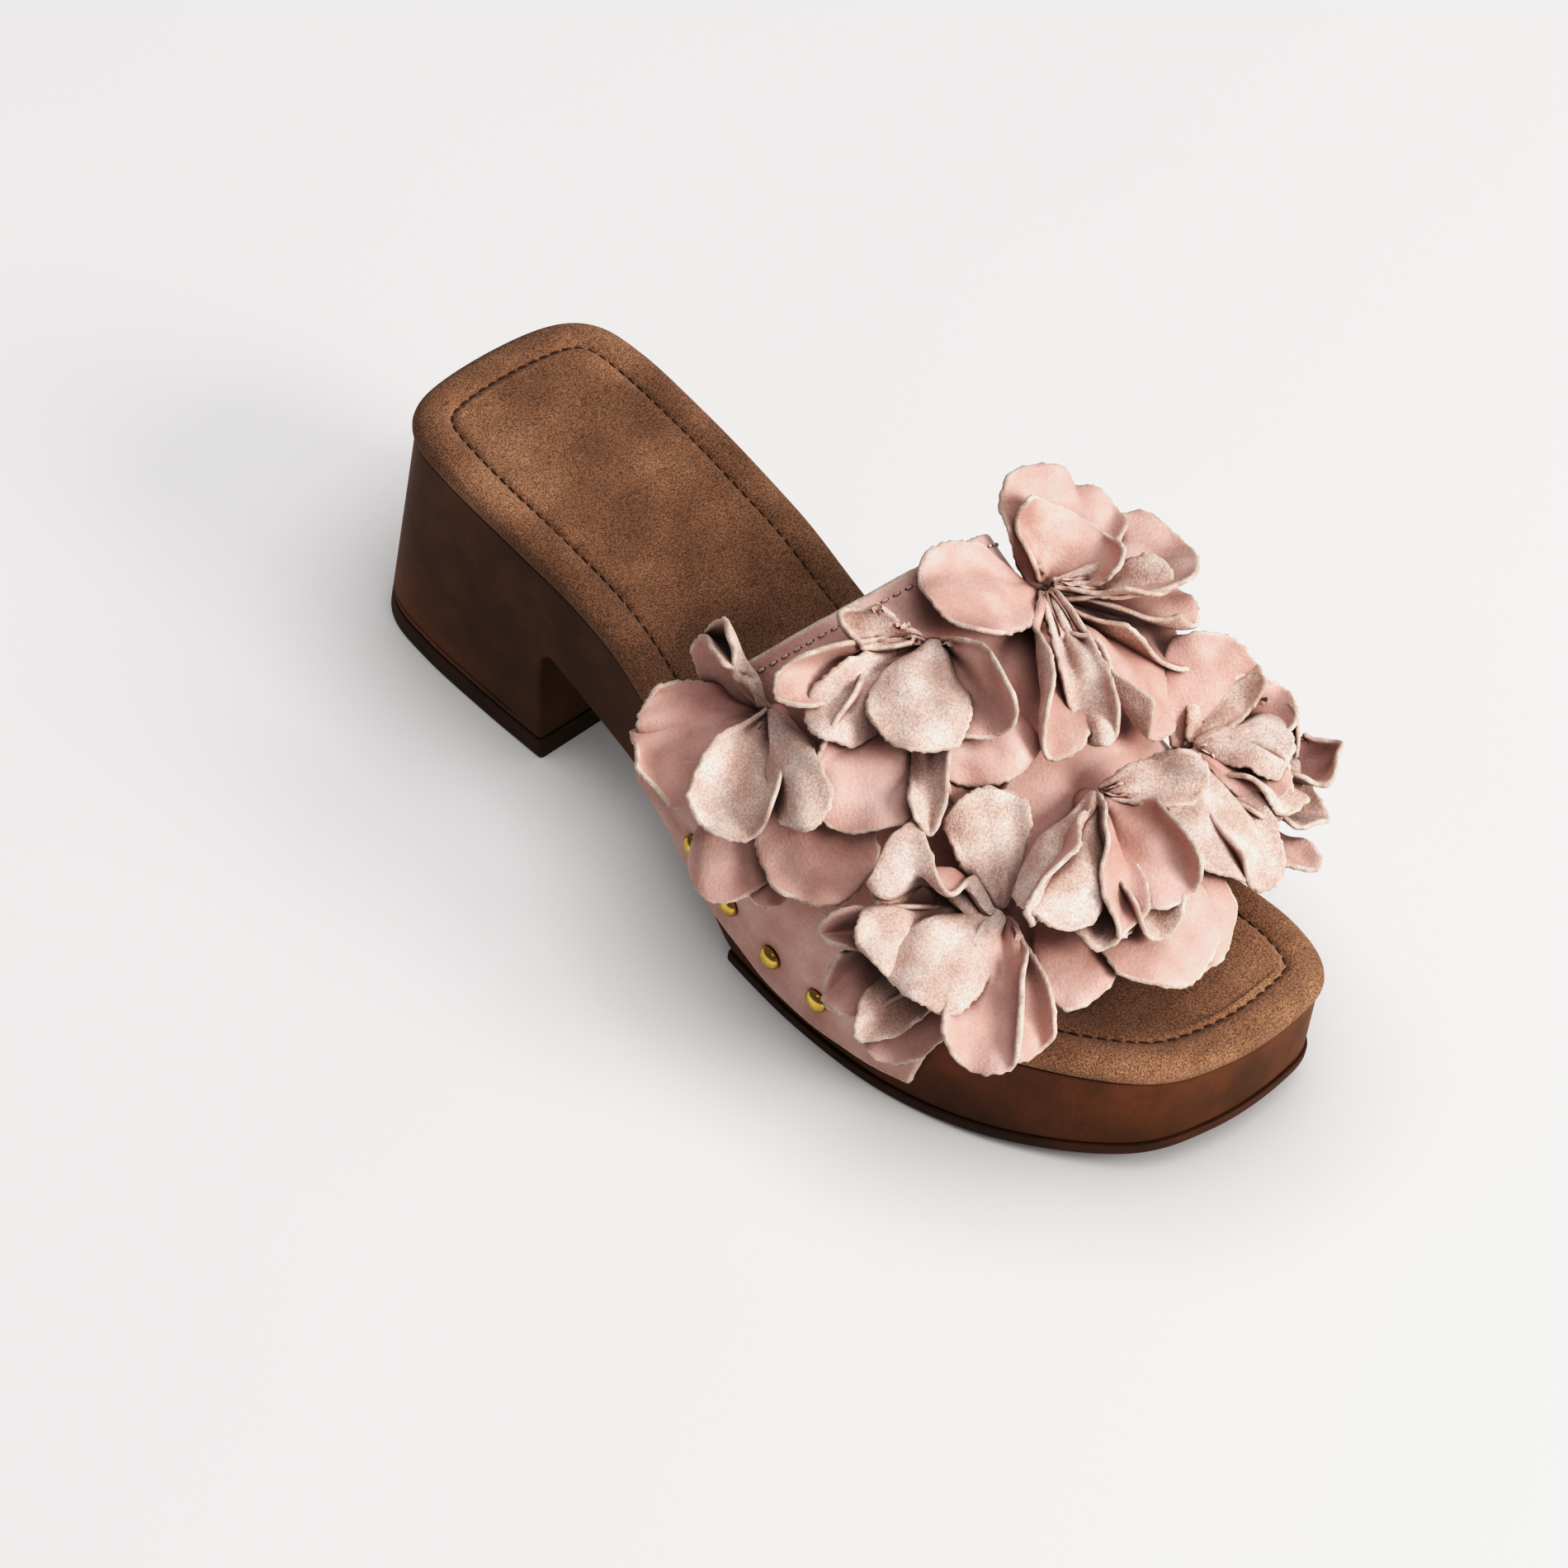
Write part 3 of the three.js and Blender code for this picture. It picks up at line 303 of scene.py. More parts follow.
def between(rows, key, column, at):
    """A column's value between the rows of a table, smooth and without overshoot."""
    x = np.array([row[key] for row in rows], float)
    value = np.array([row[column] for row in rows], float)
    slope = np.diff(value) / np.diff(x)
    before, after = slope[:-1], slope[1:]
    same_way = before * after > 0
    inner = np.where(same_way, 2 * before * after / np.where(same_way, before + after, 1), 0)
    tangent = np.concatenate([slope[:1], inner, slope[-1:]])
    at = np.clip(at, x[0], x[-1])
    i = np.clip(np.searchsorted(x, at) - 1, 0, len(x) - 2)
    span = x[i + 1] - x[i]
    t = (at - x[i]) / span
    start = (2 * t**3 - 3 * t**2 + 1) * value[i] + (t**3 - 2 * t**2 + t) * span * tangent[i]
    end = (3 * t**2 - 2 * t**3) * value[i + 1] + (t**3 - t**2) * span * tangent[i + 1]
    return start + end


def smoothstep(low, high, x):
    t = np.clip((x - low) / (high - low), 0, 1)
    return t * t * (3 - 2 * t)


def lerp(a, b, t):
    return a + (b - a) * t


def unit(v):
    return v / np.maximum(np.linalg.norm(v, axis=-1, keepdims=True), 1e-12)


def top_edge(y):
    along = y / LENGTH
    heel = between(PROFILE, "along", "heel", along)
    toe = between(PROFILE, "along", "toe", along)
    return BALL_HEIGHT + (HEEL_HEIGHT - BALL_HEIGHT) * heel + TOE_RISE * toe


def spring(y):
    return TOE_SPRING * np.maximum(0, (y - (LENGTH - SPRING_LENGTH)) / SPRING_LENGTH) ** 2


def flare(y, z):
    fore = smoothstep(LENGTH * 0.24, LENGTH * 0.6, y)
    return lerp(HEEL_FLARE, FORE_FLARE, fore) * (1 - z / top_edge(y))


def outline_branches(samples=12000):
    """x, y and the outward normal along each side of the top edge, from the back to the toe."""
    points = np.array([(row["across"] * row["of"] / 2, row["along"] * LENGTH) for row in OUTLINE])
    s = np.arange(samples) / samples * len(points)
    i = s.astype(int)
    f = (s - i)[:, None]
    p0, p1, p2, p3 = (points[(i + k) % len(points)] for k in (-1, 0, 1, 2))
    square = 2 * p0 - 5 * p1 + 4 * p2 - p3
    cube = 3 * p1 - p0 - 3 * p2 + p3
    curve = 0.5 * (2 * p1 + (p2 - p0) * f + square * f**2 + cube * f**3)
    curve = np.roll(curve, -int(np.argmin(curve[:, 1])), axis=0)
    along = unit(np.roll(curve, -1, axis=0) - np.roll(curve, 1, axis=0))
    normal = np.stack([along[:, 1], -along[:, 0]], axis=1)
    both = np.hstack([curve, normal])
    toe = int(np.argmax(curve[:, 1]))
    lateral = both[: toe + 1]
    medial = np.vstack([both[toe:], both[:1]])[::-1]
    return {1: lateral, -1: medial}


BRANCHES = outline_branches()
BACK_Y = BRANCHES[1][0, 1]
TOE_Y = BRANCHES[1][-1, 1]


def wall_at(side, y):
    """x on one side of the outline at y, and the outward normal's x and y."""
    branch = BRANCHES[side]
    ys = np.maximum.accumulate(branch[:, 1])
    return tuple(np.interp(y, ys, branch[:, k]) for k in (0, 2, 3))


def wall_points(side, y, z, outwards):
    x, nx, ny = wall_at(side, y)
    return np.stack(np.broadcast_arrays(x + nx * outwards, y + ny * outwards, z), axis=-1)


def breast_y(z):
    return HEEL_SEAT_LENGTH - BREAST_LEAN * z / ARCH_HEIGHT


def underside(y):
    """Height of the base's underside ahead of the breast."""
    start = breast_y(ARCH_HEIGHT)
    end = LENGTH - OUTSOLE_LENGTH
    top = OUTSOLE_THICKNESS + SEAM_GAP
    run = np.clip((y - start - ARCH_CORNER) / (end - start - ARCH_CORNER), 0, 1)
    arch = top + (ARCH_HEIGHT - top) * between(ARCH, "run", "height", run)
    into = np.clip(ARCH_CORNER - (y - start), 0, ARCH_CORNER)
    corner = ARCH_CORNER - np.sqrt(ARCH_CORNER**2 - into**2)
    return np.where(y < end, arch - corner, top + spring(y))


def columns(low, high, n, ease_low=True, ease_high=True):
    """n + 1 places from low to high, closer together at the eased ends."""
    t = np.arange(n + 1) / n
    if ease_low and ease_high:
        t = (1 - np.cos(math.pi * t)) / 2
    elif ease_low:
        t = 1 - np.cos(math.pi / 2 * t)
    elif ease_high:
        t = np.sin(math.pi / 2 * t)
    return low + (high - low) * t


def rounded(depth, radius=EDGE_ROUND):
    """How far a wall steps in at a depth from its edge, for a rounded edge."""
    left = np.clip(radius - depth, 0, radius)
    return radius - np.sqrt(np.maximum(radius**2 - left**2, 0))


def place(points):
    """Millimetres in the drawing frame to metres in the part's frame."""
    return (np.asarray(points, float) - (0, ORIGIN_Y, 0)) * MM


def strip(a, b, across=2):
    """Grid between two rows of points."""
    t = np.linspace(0, 1, across + 1)[:, None, None]
    return a[None] * (1 - t) + b[None] * t


def mesh_object(name, patches, materials, sharp):
    """One mesh from grids of points (grid, material index), joined where they meet."""
    verts, faces, slots = [], [], []
    count = 0
    for grid, index in patches:
        n, m = grid.shape[:2]
        verts.append(place(grid.reshape(-1, 3)))
        i, j = np.meshgrid(np.arange(n - 1), np.arange(m - 1), indexing="ij")
        corner = (count + i * m + j).ravel()
        faces.append(np.stack([corner, corner + m, corner + m + 1, corner + 1], axis=1))
        slots.append(np.full(len(corner), index))
        count += n * m
    mesh = bpy.data.meshes.new(name)
    mesh.from_pydata(np.vstack(verts).tolist(), [], np.vstack(faces).tolist())
    mesh.polygons.foreach_set("material_index", np.concatenate(slots))
    for material in materials:
        mesh.materials.append(material)
    work = bmesh.new()
    work.from_mesh(mesh)
    bmesh.ops.remove_doubles(work, verts=work.verts, dist=2e-6)
    bmesh.ops.dissolve_degenerate(work, edges=work.edges, dist=1e-6)
    bmesh.ops.recalc_face_normals(work, faces=work.faces)
    work.to_mesh(mesh)
    work.free()
    mesh.polygons.foreach_set("use_smooth", np.ones(len(mesh.polygons), bool))
    mesh.set_sharp_from_angle(angle=math.radians(sharp))
    made = bpy.data.objects.new(name, mesh)
    bpy.context.scene.collection.objects.link(made)
    return made


def add(piece, slot, *nodes):
    """The piece rides on the shoe and stands for its solids; the slot it is given is not used."""
    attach(piece, "root")
    if nodes:
        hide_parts(*nodes)
    return piece


# Materials

def linear(*rgb):
    """A display colour of 0 to 255 as the renderer's linear colour."""
    lit = [c / 255 / 12.92 if c <= 10 else ((c / 255 + 0.055) / 1.055) ** 2.4 for c in rgb]
    return (*lit, 1)


def grey(level):
    return (level, level, level, 1)


class Surface:
    """A principled material whose colour and relief come from noise in object space."""

    def __init__(self, name, roughness, **inputs):
        self.material = bpy.data.materials.new(name)
        self.material.use_nodes = True
        self.nodes = self.material.node_tree.nodes
        self.links = self.material.node_tree.links
        self.shader = self.nodes["Principled BSDF"]
        self.shader.inputs["Roughness"].default_value = roughness
        for key, value in inputs.items():
            self.shader.inputs[key.replace("_", " ")].default_value = value
        self.place = self.nodes.new("ShaderNodeTexCoord").outputs["Object"]
        self.height = None

    def noise(self, size_mm, detail=3, roughness=0.55, stretch=None):
        node = self.nodes.new("ShaderNodeTexNoise")
        node.inputs["Scale"].default_value = 1000 / size_mm
        node.inputs["Detail"].default_value = detail
        node.inputs["Roughness"].default_value = roughness
        source = self.place
        if stretch:
            mapping = self.nodes.new("ShaderNodeMapping")
            mapping.inputs["Scale"].default_value = stretch
            self.links.new(source, mapping.inputs["Vector"])
            source = mapping.outputs["Vector"]
        self.links.new(source, node.inputs["Vector"])
        return node.outputs["Fac"]

    def cells(self, size_mm):
        node = self.nodes.new("ShaderNodeTexVoronoi")
        node.inputs["Scale"].default_value = 1000 / size_mm
        self.links.new(self.place, node.inputs["Vector"])
        return node.outputs["Distance"]

    def ramp(self, value, *stops):
        node = self.nodes.new("ShaderNodeValToRGB")
        ramp = node.color_ramp
        while len(ramp.elements) < len(stops):
            ramp.elements.new(0.5)
        for element, (position, colour) in zip(ramp.elements, stops):
            element.position = position
            element.color = colour
        self.links.new(value, node.inputs["Fac"])
        return node.outputs["Color"]

    def mix(self, factor, a, b, blend="MIX"):
        node = self.nodes.new("ShaderNodeMix")
        node.data_type = "RGBA"
        node.blend_type = blend
        for socket, value in ((node.inputs["Factor"], factor), (node.inputs[6], a), (node.inputs[7], b)):
            if isinstance(value, bpy.types.NodeSocket):
                self.links.new(value, socket)
            else:
                socket.default_value = value
        return node.outputs[2]

    def colour(self, value):
        self.links.new(value, self.shader.inputs["Base Color"])

    def with_painted_shade(self, colour, reach_mm, dark):
        """The colour with painted shade: darker where other surfaces stand close by."""
        node = self.nodes.new("ShaderNodeAmbientOcclusion")
        node.inputs["Distance"].default_value = reach_mm * MM
        node.samples = 6
        depth = self.ramp(node.outputs["AO"], (0.1, dark), (0.66, grey(1)))
        return self.mix(1.0, colour, depth, "MULTIPLY")

    def bump(self, value, depth_mm, strength=1.0):
        node = self.nodes.new("ShaderNodeBump")
        node.inputs["Distance"].default_value = depth_mm * MM
        node.inputs["Strength"].default_value = strength
        self.links.new(value, node.inputs["Height"])
        if self.height:
            self.links.new(self.height, node.inputs["Normal"])
        self.height = node.outputs["Normal"]
        self.links.new(self.height, self.shader.inputs["Normal"])


def napped(name, dark, middle, light, fleck_mm, patch_mm, nap, sheen, contrast, crease=0.0, painted_shade=None):
    """Suede: short nap with fine flecks and soft brushed patches, with painted shade where surfaces stand
    close when a shade colour is given.
    """
    made = Surface(name, 0.95, Sheen_Weight=sheen, Sheen_Roughness=0.5, Specular_IOR_Level=0.15)
    stops = zip((0.36, 0.5, 0.64), (linear(*dark), linear(*middle), linear(*light)))
    patches = made.ramp(made.noise(patch_mm, 3), *stops)
    low, high = grey(1 - contrast), grey(1 + contrast * 0.9)
    flecks = made.ramp(made.noise(fleck_mm, 4, 0.7), (0.36, low), (0.62, high))
    tone = made.mix(1.0, patches, flecks, "MULTIPLY")
    # Painted shade: the suede is darkened where other surfaces stand close.
    made.colour(made.with_painted_shade(tone, PAINTED_SHADE_REACH, painted_shade) if painted_shade else tone)
    if crease:
        made.bump(made.noise(11, 3, 0.6, (1, 0.3, 1)), crease)
    made.bump(made.noise(fleck_mm * 5, 3), nap * 0.6)
    made.bump(made.noise(fleck_mm, 4, 0.7), nap)
    return made.material


def grain_leather():
    """Dusty pink grain leather with a fine pebble, a soft gloss and painted shade where surfaces stand
    close.
    """
    made = Surface("pink_grain", 0.5, Specular_IOR_Level=0.35, Coat_Weight=0.08, Coat_Roughness=0.35)
    tone = made.ramp(
        made.noise(16, 4),
        (0.35, linear(204, 163, 152)),
        (0.52, linear(217, 180, 170)),
        (0.68, linear(227, 195, 186)),
    )
    fine = made.ramp(made.noise(0.7, 3), (0.3, grey(0.9)), (0.7, grey(1.06)))
    tone = made.mix(0.8, tone, fine, "MULTIPLY")
    # Painted shade: the grain is darkened where other surfaces stand close.
    made.colour(made.with_painted_shade(tone, PAINTED_SHADE_REACH, PINK_PAINTED_SHADE))
    made.bump(made.cells(0.75), 0.12, 0.7)
    made.bump(made.noise(3.2, 3), 0.22, 0.6)
    return made.material


def clog_base():
    """Satin brown moulded base with faint upright fibres."""
    made = Surface("brown_base", 0.5, Specular_IOR_Level=0.2, Coat_Weight=0.03, Coat_Roughness=0.3)
    tone = made.ramp(
        made.noise(24, 3),
        (0.32, linear(86, 55, 31)),
        (0.55, linear(112, 72, 44)),
        (0.75, linear(138, 86, 60)),
    )
    fibre = made.ramp(made.noise(1.0, 4, 0.65, (1, 1, 0.25)), (0.3, grey(0.85)), (0.7, grey(1.08)))
    made.colour(made.mix(0.7, tone, fibre, "MULTIPLY"))
    made.bump(made.noise(0.5, 4, 0.6), 0.03, 0.6)
    made.bump(made.noise(9, 2), 0.25, 0.5)
    return made.material


def rubber():
    made = Surface("brown_rubber", 0.6, Specular_IOR_Level=0.3)
    tone = made.ramp(made.noise(18, 3), (0.35, linear(64, 40, 24)), (0.65, linear(88, 56, 35)))
    made.colour(tone)
    made.bump(made.noise(0.4, 3), 0.05, 0.6)
    return made.material


def brass():
    made = Surface("brass", 0.2, Metallic=1.0)
    tone = made.ramp(made.noise(1.5, 3), (0.3, linear(196, 164, 88)), (0.7, linear(226, 200, 122)))
    made.colour(tone)
    made.bump(made.noise(0.9, 2), 0.02, 0.5)
    return made.material


def thread(name, colour):
    made = Surface(name, 0.85, Specular_IOR_Level=0.2)
    r, g, b = colour
    tone = made.ramp(made.noise(0.3, 2), (0.3, linear(r * 0.8, g * 0.8, b * 0.8)), (0.7, linear(r, g, b)))
    made.colour(tone)
    made.bump(made.noise(0.25, 2), 0.05, 0.8)
    return made.material


# Painted shade: reach in mm of the darkening near close surfaces, and the darkest colours it paints on
# grain and suede.
PAINTED_SHADE_REACH = 11.0
PINK_PAINTED_SHADE = (0.17, 0.085, 0.055, 1)
SUEDE_PAINTED_SHADE = (0.22, 0.115, 0.075, 1)
GRAIN = grain_leather()
# The pale suede and the raw edges carry painted shade where surfaces stand close.
FLESH = napped(
    "pale_suede", dark=(215, 184, 172), middle=(228, 202, 191), light=(238, 218, 209),
    fleck_mm=0.6, patch_mm=9.0, nap=0.4, sheen=0.15, contrast=0.22, painted_shade=SUEDE_PAINTED_SHADE,
)
RAW_EDGE = napped(
    "raw_edge", dark=(208, 182, 168), middle=(222, 200, 187), light=(234, 216, 205),
    fleck_mm=0.4, patch_mm=5.0, nap=0.3, sheen=0.2, contrast=0.18, painted_shade=SUEDE_PAINTED_SHADE,
)
BROWN_SUEDE = napped(
    "brown_suede", dark=(136, 104, 82), middle=(151, 117, 93), light=(168, 132, 107),
    fleck_mm=0.42, patch_mm=24.0, nap=0.4, sheen=0.12, contrast=0.6, crease=0.8,
)
LINING = napped(
    "lining", dark=(150, 112, 100), middle=(172, 132, 120), light=(188, 150, 138),
    fleck_mm=0.5, patch_mm=12.0, nap=0.15, sheen=0.1, contrast=0.2,
)
BASE = clog_base()
RUBBER = rubber()
BRASS = brass()
BROWN_THREAD = thread("brown_thread", (96, 66, 48))
PALE_THREAD = thread("pale_thread", (240, 220, 210))
# Painted shade: dark brown for the shade inside the needle and thread holes.
PAINTED_HOLE_SHADE = thread("needle_hole", (84, 50, 42))


# Base, wearing layers and footbed

def make_sole():
    """The base: heel walls below the waist, then all walls from the underside to the top edge."""
    start = breast_y(ARCH_HEIGHT)
    back = columns(BACK_Y, start - 1.0, 46, True, False)
    corner = start + np.array([0.1, 0.4, 0.9, 1.6, 2.3, 3.0])
    fore = columns(start + ARCH_CORNER, TOE_Y, 90, False, True)[1:]
    heel_y = np.concatenate([back, start - BREAST_STEPS])
    upper_y = np.concatenate([heel_y, corner, fore])
    waist = ARCH_HEIGHT - ARCH_CORNER

    floor_z = TOP_PIECE_THICKNESS + SEAM_GAP
    groove = GROOVE_HEIGHT + np.array([-0.45, -0.2, 0, 0.2, 0.45])
    lower_z = np.concatenate([floor_z + EDGE_STEPS, groove, np.linspace(10, waist, 12)])
    low = np.where(upper_y < start, waist, underside(upper_y))
    high = top_edge(upper_y)
    near_low, near_high = [0, 0.003, 0.01, 0.022, 0.04], [0.975, 0.99, 1]
    share = np.concatenate([near_low, np.linspace(0.08, 0.95, 14), near_high])
    upper_z = low + (high - low) * share[:, None]

    breast_in = rounded(start - heel_y)
    patches = []
    rows = {}
    for side in (1, -1):
        z = np.repeat(lower_z[:, None], len(heel_y), axis=1)
        lean = smoothstep(0, 1, heel_y / start)
        y = heel_y + (breast_y(z) - breast_y(waist)) * lean
        cut = GROOVE_DEPTH * np.clip(1 - np.abs(z - GROOVE_HEIGHT) / 0.4, 0, 1)
        cut = cut * smoothstep(GROOVE_STOP, GROOVE_STOP + 3, start - heel_y)
        inward = rounded(z - floor_z) + breast_in * smoothstep(0, 2, waist + 2 - z) + cut
        lower = wall_points(side, y, z, flare(y, z) - inward)
        y = np.repeat(upper_y[None], len(share), axis=0)
        ahead = np.where(upper_y >= start - 0.01, 1.0, 0.0)
        from_low = upper_z - low
        inward = rounded(from_low) * ahead + rounded(high - upper_z, 0.5)
        inward[0, : len(heel_y)] = breast_in
        upper = wall_points(side, y, upper_z, flare(y, upper_z) - inward)
        upper[0, : len(heel_y)] = lower[-1]
        patches += [(lower, 0), (upper, 0)]
        rows[side] = (lower, upper)
    (lower_l, upper_l), (lower_m, upper_m) = rows[1], rows[-1]
    b = len(heel_y) - 1
    patches.append((strip(lower_l[0], lower_m[0]), 0))
    patches.append((strip(lower_l[:, b], lower_m[:, b]), 0))
    patches.append((strip(upper_l[0, b:], upper_m[0, b:]), 0))
    patches.append((strip(upper_l[-1], upper_m[-1]), 0))
    return mesh_object("clog_base", patches, [BASE], sharp=35)


def make_heel_top_piece():
    y0 = columns(BACK_Y, breast_y(0) - 1.2, 44, True, False)
    y0 = np.concatenate([y0, breast_y(0) - BREAST_STEPS])
    inner_steps = TOP_PIECE_THICKNESS - EDGE_STEPS[::-1] * INNER_LIFT_ROUND
    z = np.concatenate([EDGE_STEPS, [2.2, 4.0], inner_steps])[:, None]
    lean = smoothstep(0, 1, y0 / breast_y(0))
    y = y0 + (breast_y(z) - breast_y(0)) * lean
    inner = rounded((TOP_PIECE_THICKNESS - z) / INNER_LIFT_ROUND) * INNER_LIFT_ROUND
    inward = rounded(z) + inner + rounded(breast_y(0) - y0)
    sides = [wall_points(side, y, z + 0 * y, flare(y, z) - inward) for side in (1, -1)]
    patches = [(grid, 0) for grid in sides]
    patches += [(strip(sides[0][k], sides[1][k]), 0) for k in (0, -1)]
    patches.append((strip(sides[0][:, -1], sides[1][:, -1]), 0))
    return mesh_object("heel_top_lift", patches, [RUBBER], sharp=35)


def make_outsole():
    back = LENGTH - OUTSOLE_LENGTH
    y = np.concatenate([back + BREAST_STEPS[::-1], columns(back + 1.5, TOE_Y, 90, False, True)])
    inner_steps = OUTSOLE_THICKNESS - EDGE_STEPS[::-1] * INNER_OUTSOLE_ROUND
    up = np.concatenate([EDGE_STEPS, [1.5, 2.2], inner_steps])[:, None]
    inner = rounded((OUTSOLE_THICKNESS - up) / INNER_OUTSOLE_ROUND) * INNER_OUTSOLE_ROUND
    inward = rounded(up) + inner + rounded(y - back)
    z = spring(y) + up
    sides = []
    for side in (1, -1):
        grid = wall_points(side, y + 0 * up, z, flare(y, 0) + OUTSOLE_PROUD - inward)
        grid[..., 2] = np.maximum(spring(grid[..., 1]) + up, 0)
        sides.append(grid)
    patches = [(grid, 0) for grid in sides]
    patches += [(strip(sides[0][k], sides[1][k]), 0) for k in (0, -1)]
    patches.append((strip(sides[0][:, 0], sides[1][:, 0]), 0))
    return mesh_object("fore_outsole", patches, [RUBBER], sharp=35)


RIM = table(
    "inset lift",
    (0.8, 0.0),
    (0.1, 0.04),
    (-0.5, 0.12),
    (-0.8, 0.28),
    (-0.85, 0.45),
    (-0.6, 0.64),
    (0.0, 0.8),
    (1.0, 0.91),
    (2.2, 0.975),
    (3.6, 1.0),
    (5.2, 0.985),
    (6.6, 0.945),
    (7.5, 0.89),
    (8.0, 0.83),
    (8.25, 0.79),
    (8.5, 0.79),
    (8.8, 0.84),
    (9.3, 0.9),
    (10.2, 0.93),
)


def footbed_row(side, y, inset, lift):
    grid = wall_points(side, y, 0 * y, -inset)
    grid[..., 2] = top_edge(grid[..., 1]) + SEAM_GAP + lift
    return grid


def ripple(points, size, seed, waves=5):
    """A smooth seeded unevenness from -1 to 1."""
    random = np.random.default_rng(seed)
    total = 0
    for _ in range(waves):
        way = unit(random.normal(size=3)) * random.uniform(0.7, 1.4) * 2 * math.pi / size
        total = total + np.sin(points @ way + random.uniform(0, 2 * math.pi))
    return total / waves


def make_footbed():
    """Rolled rim and stitched channel on both sides, with a shallow uneven dish between them."""
    y = columns(BACK_Y, TOE_Y, 170)
    patches = []
    inner = []
    for side in (1, -1):
        levels = [(row["inset"], row["lift"] * FOOTBED_THICKNESS) for row in RIM]
        grid = np.stack([footbed_row(side, y, inset, lift) for inset, lift in levels])
        uneven = ripple(grid, 26, 3)[..., None] * 0.16 + ripple(grid, 7, 4)[..., None] * 0.07
        weight = np.array([smoothstep(0.5, 3, row["inset"]) for row in RIM])[:, None, None]
        grid = grid + uneven * weight * (0, 0, 1)
        patches.append((grid, 0))
        inner.append(grid)
    across = 30
    top = strip(inner[0][-1], inner[1][-1], across)
    t = np.linspace(0, 1, across + 1)[:, None]
    bowl = (4 * t * (1 - t)) ** 0.7 * np.sin(math.pi * np.linspace(0, 1, len(y))) ** 0.3
    uneven = ripple(top * (1, 0.35, 1), 17, 5) * 0.22 + ripple(top, 9, 6) * 0.1
    top[..., 2] += (uneven - DISH_DEPTH) * bowl
    patches.append((top, 0))
    patches.append((strip(inner[0][0], inner[1][0]), 0))
    return mesh_object("suede_footbed", patches, [BROWN_SUEDE], sharp=60)


# Vamp

def vamp_points(out, run):
    """Outer face of the vamp: out from -1, the lateral lower edge, to 1; run from back to front."""
    out, run = np.broadcast_arrays(np.asarray(out, float), np.asarray(run, float))
    made = np.zeros(out.shape + (3,))
    for side in (1, -1):
        chosen = out < 0 if side > 0 else out >= 0
        if chosen.any():
            made[chosen] = half_vamp(side, np.abs(out[chosen]), run[chosen])
    return made


def half_vamp(side, away, run):
    crest_y, rise, hem, lean, skew = (
        between(VAMP, "run", column, run) for column in ("crest", "rise", "hem", "lean", "skew")
    )
    crest_y = crest_y * LENGTH
    crest_x = -CREST_INWARD * (1 - run / 3)
    crest_z = top_edge(crest_y) + FOOTBED_THICKNESS + rise * INSTEP_HEIGHT
    hem_y = between(VAMP, "run", "lateral" if side > 0 else "medial", run) * LENGTH
    cover = VAMP_WALL + VAMP_GAP

    def arch_y(x, z):
        return crest_y + lean * (z - crest_z) - skew * (x - crest_x)

    guess = wall_at(side, hem_y)[0]
    rim_y = arch_y(guess, top_edge(hem_y))
    x, share, _ = wall_at(side, rim_y)
    rim_z = top_edge(rim_y) + FOOTBED_THICKNESS * 0.55
    rim_x = np.abs(x) + (RIM_BULGE + cover) / np.abs(share)
    hem_z = top_edge(hem_y) - hem * HEM_DROP

    up = (1 - away) / WALL_SHARE
    z = lerp(hem_z, rim_z, up)
    y = lerp(hem_y, rim_y, smoothstep(0, 1, up) * 0.5 + up * 0.5)
    x, share, _ = wall_at(side, y)
    outwards = np.maximum(flare(y, z), RIM_BULGE * up) + cover
    low = np.stack([side * (np.abs(x) + outwards / np.abs(share)), y, z], axis=-1)

    turn = math.pi / 2 * np.clip(1 - away / (1 - WALL_SHARE), 0, 1)
    power = LATERAL_ROUNDNESS if side > 0 else MEDIAL_ROUNDNESS
    up = np.sin(turn) ** power
    bulge = LATERAL_BULGE if side > 0 else MEDIAL_BULGE
    swell = bulge * np.sin(math.pi * up) * rise
    x = crest_x + side * ((rim_x - side * crest_x) * np.cos(turn) ** power + swell)
    z = rim_z + (crest_z - rim_z) * up
    high = np.stack([x, arch_y(x, z), z], axis=-1)
    return np.where((away > 1 - WALL_SHARE)[..., None], low, high)


def vamp_frame(out, run):
    """A point on the vamp, with its outward normal and the direction to the toe."""
    step = 1e-3
    point = vamp_points(out, run)
    across = vamp_points(out - step, run) - vamp_points(out + step, run)
    forward = vamp_points(out, min(1, run + step)) - vamp_points(out, max(0, run - step))
    up = unit(np.cross(across, forward))
    return point, up, unit(forward)


def surface_normals(grid):
    return unit(np.cross(np.gradient(grid, axis=0), np.gradient(grid, axis=1)))


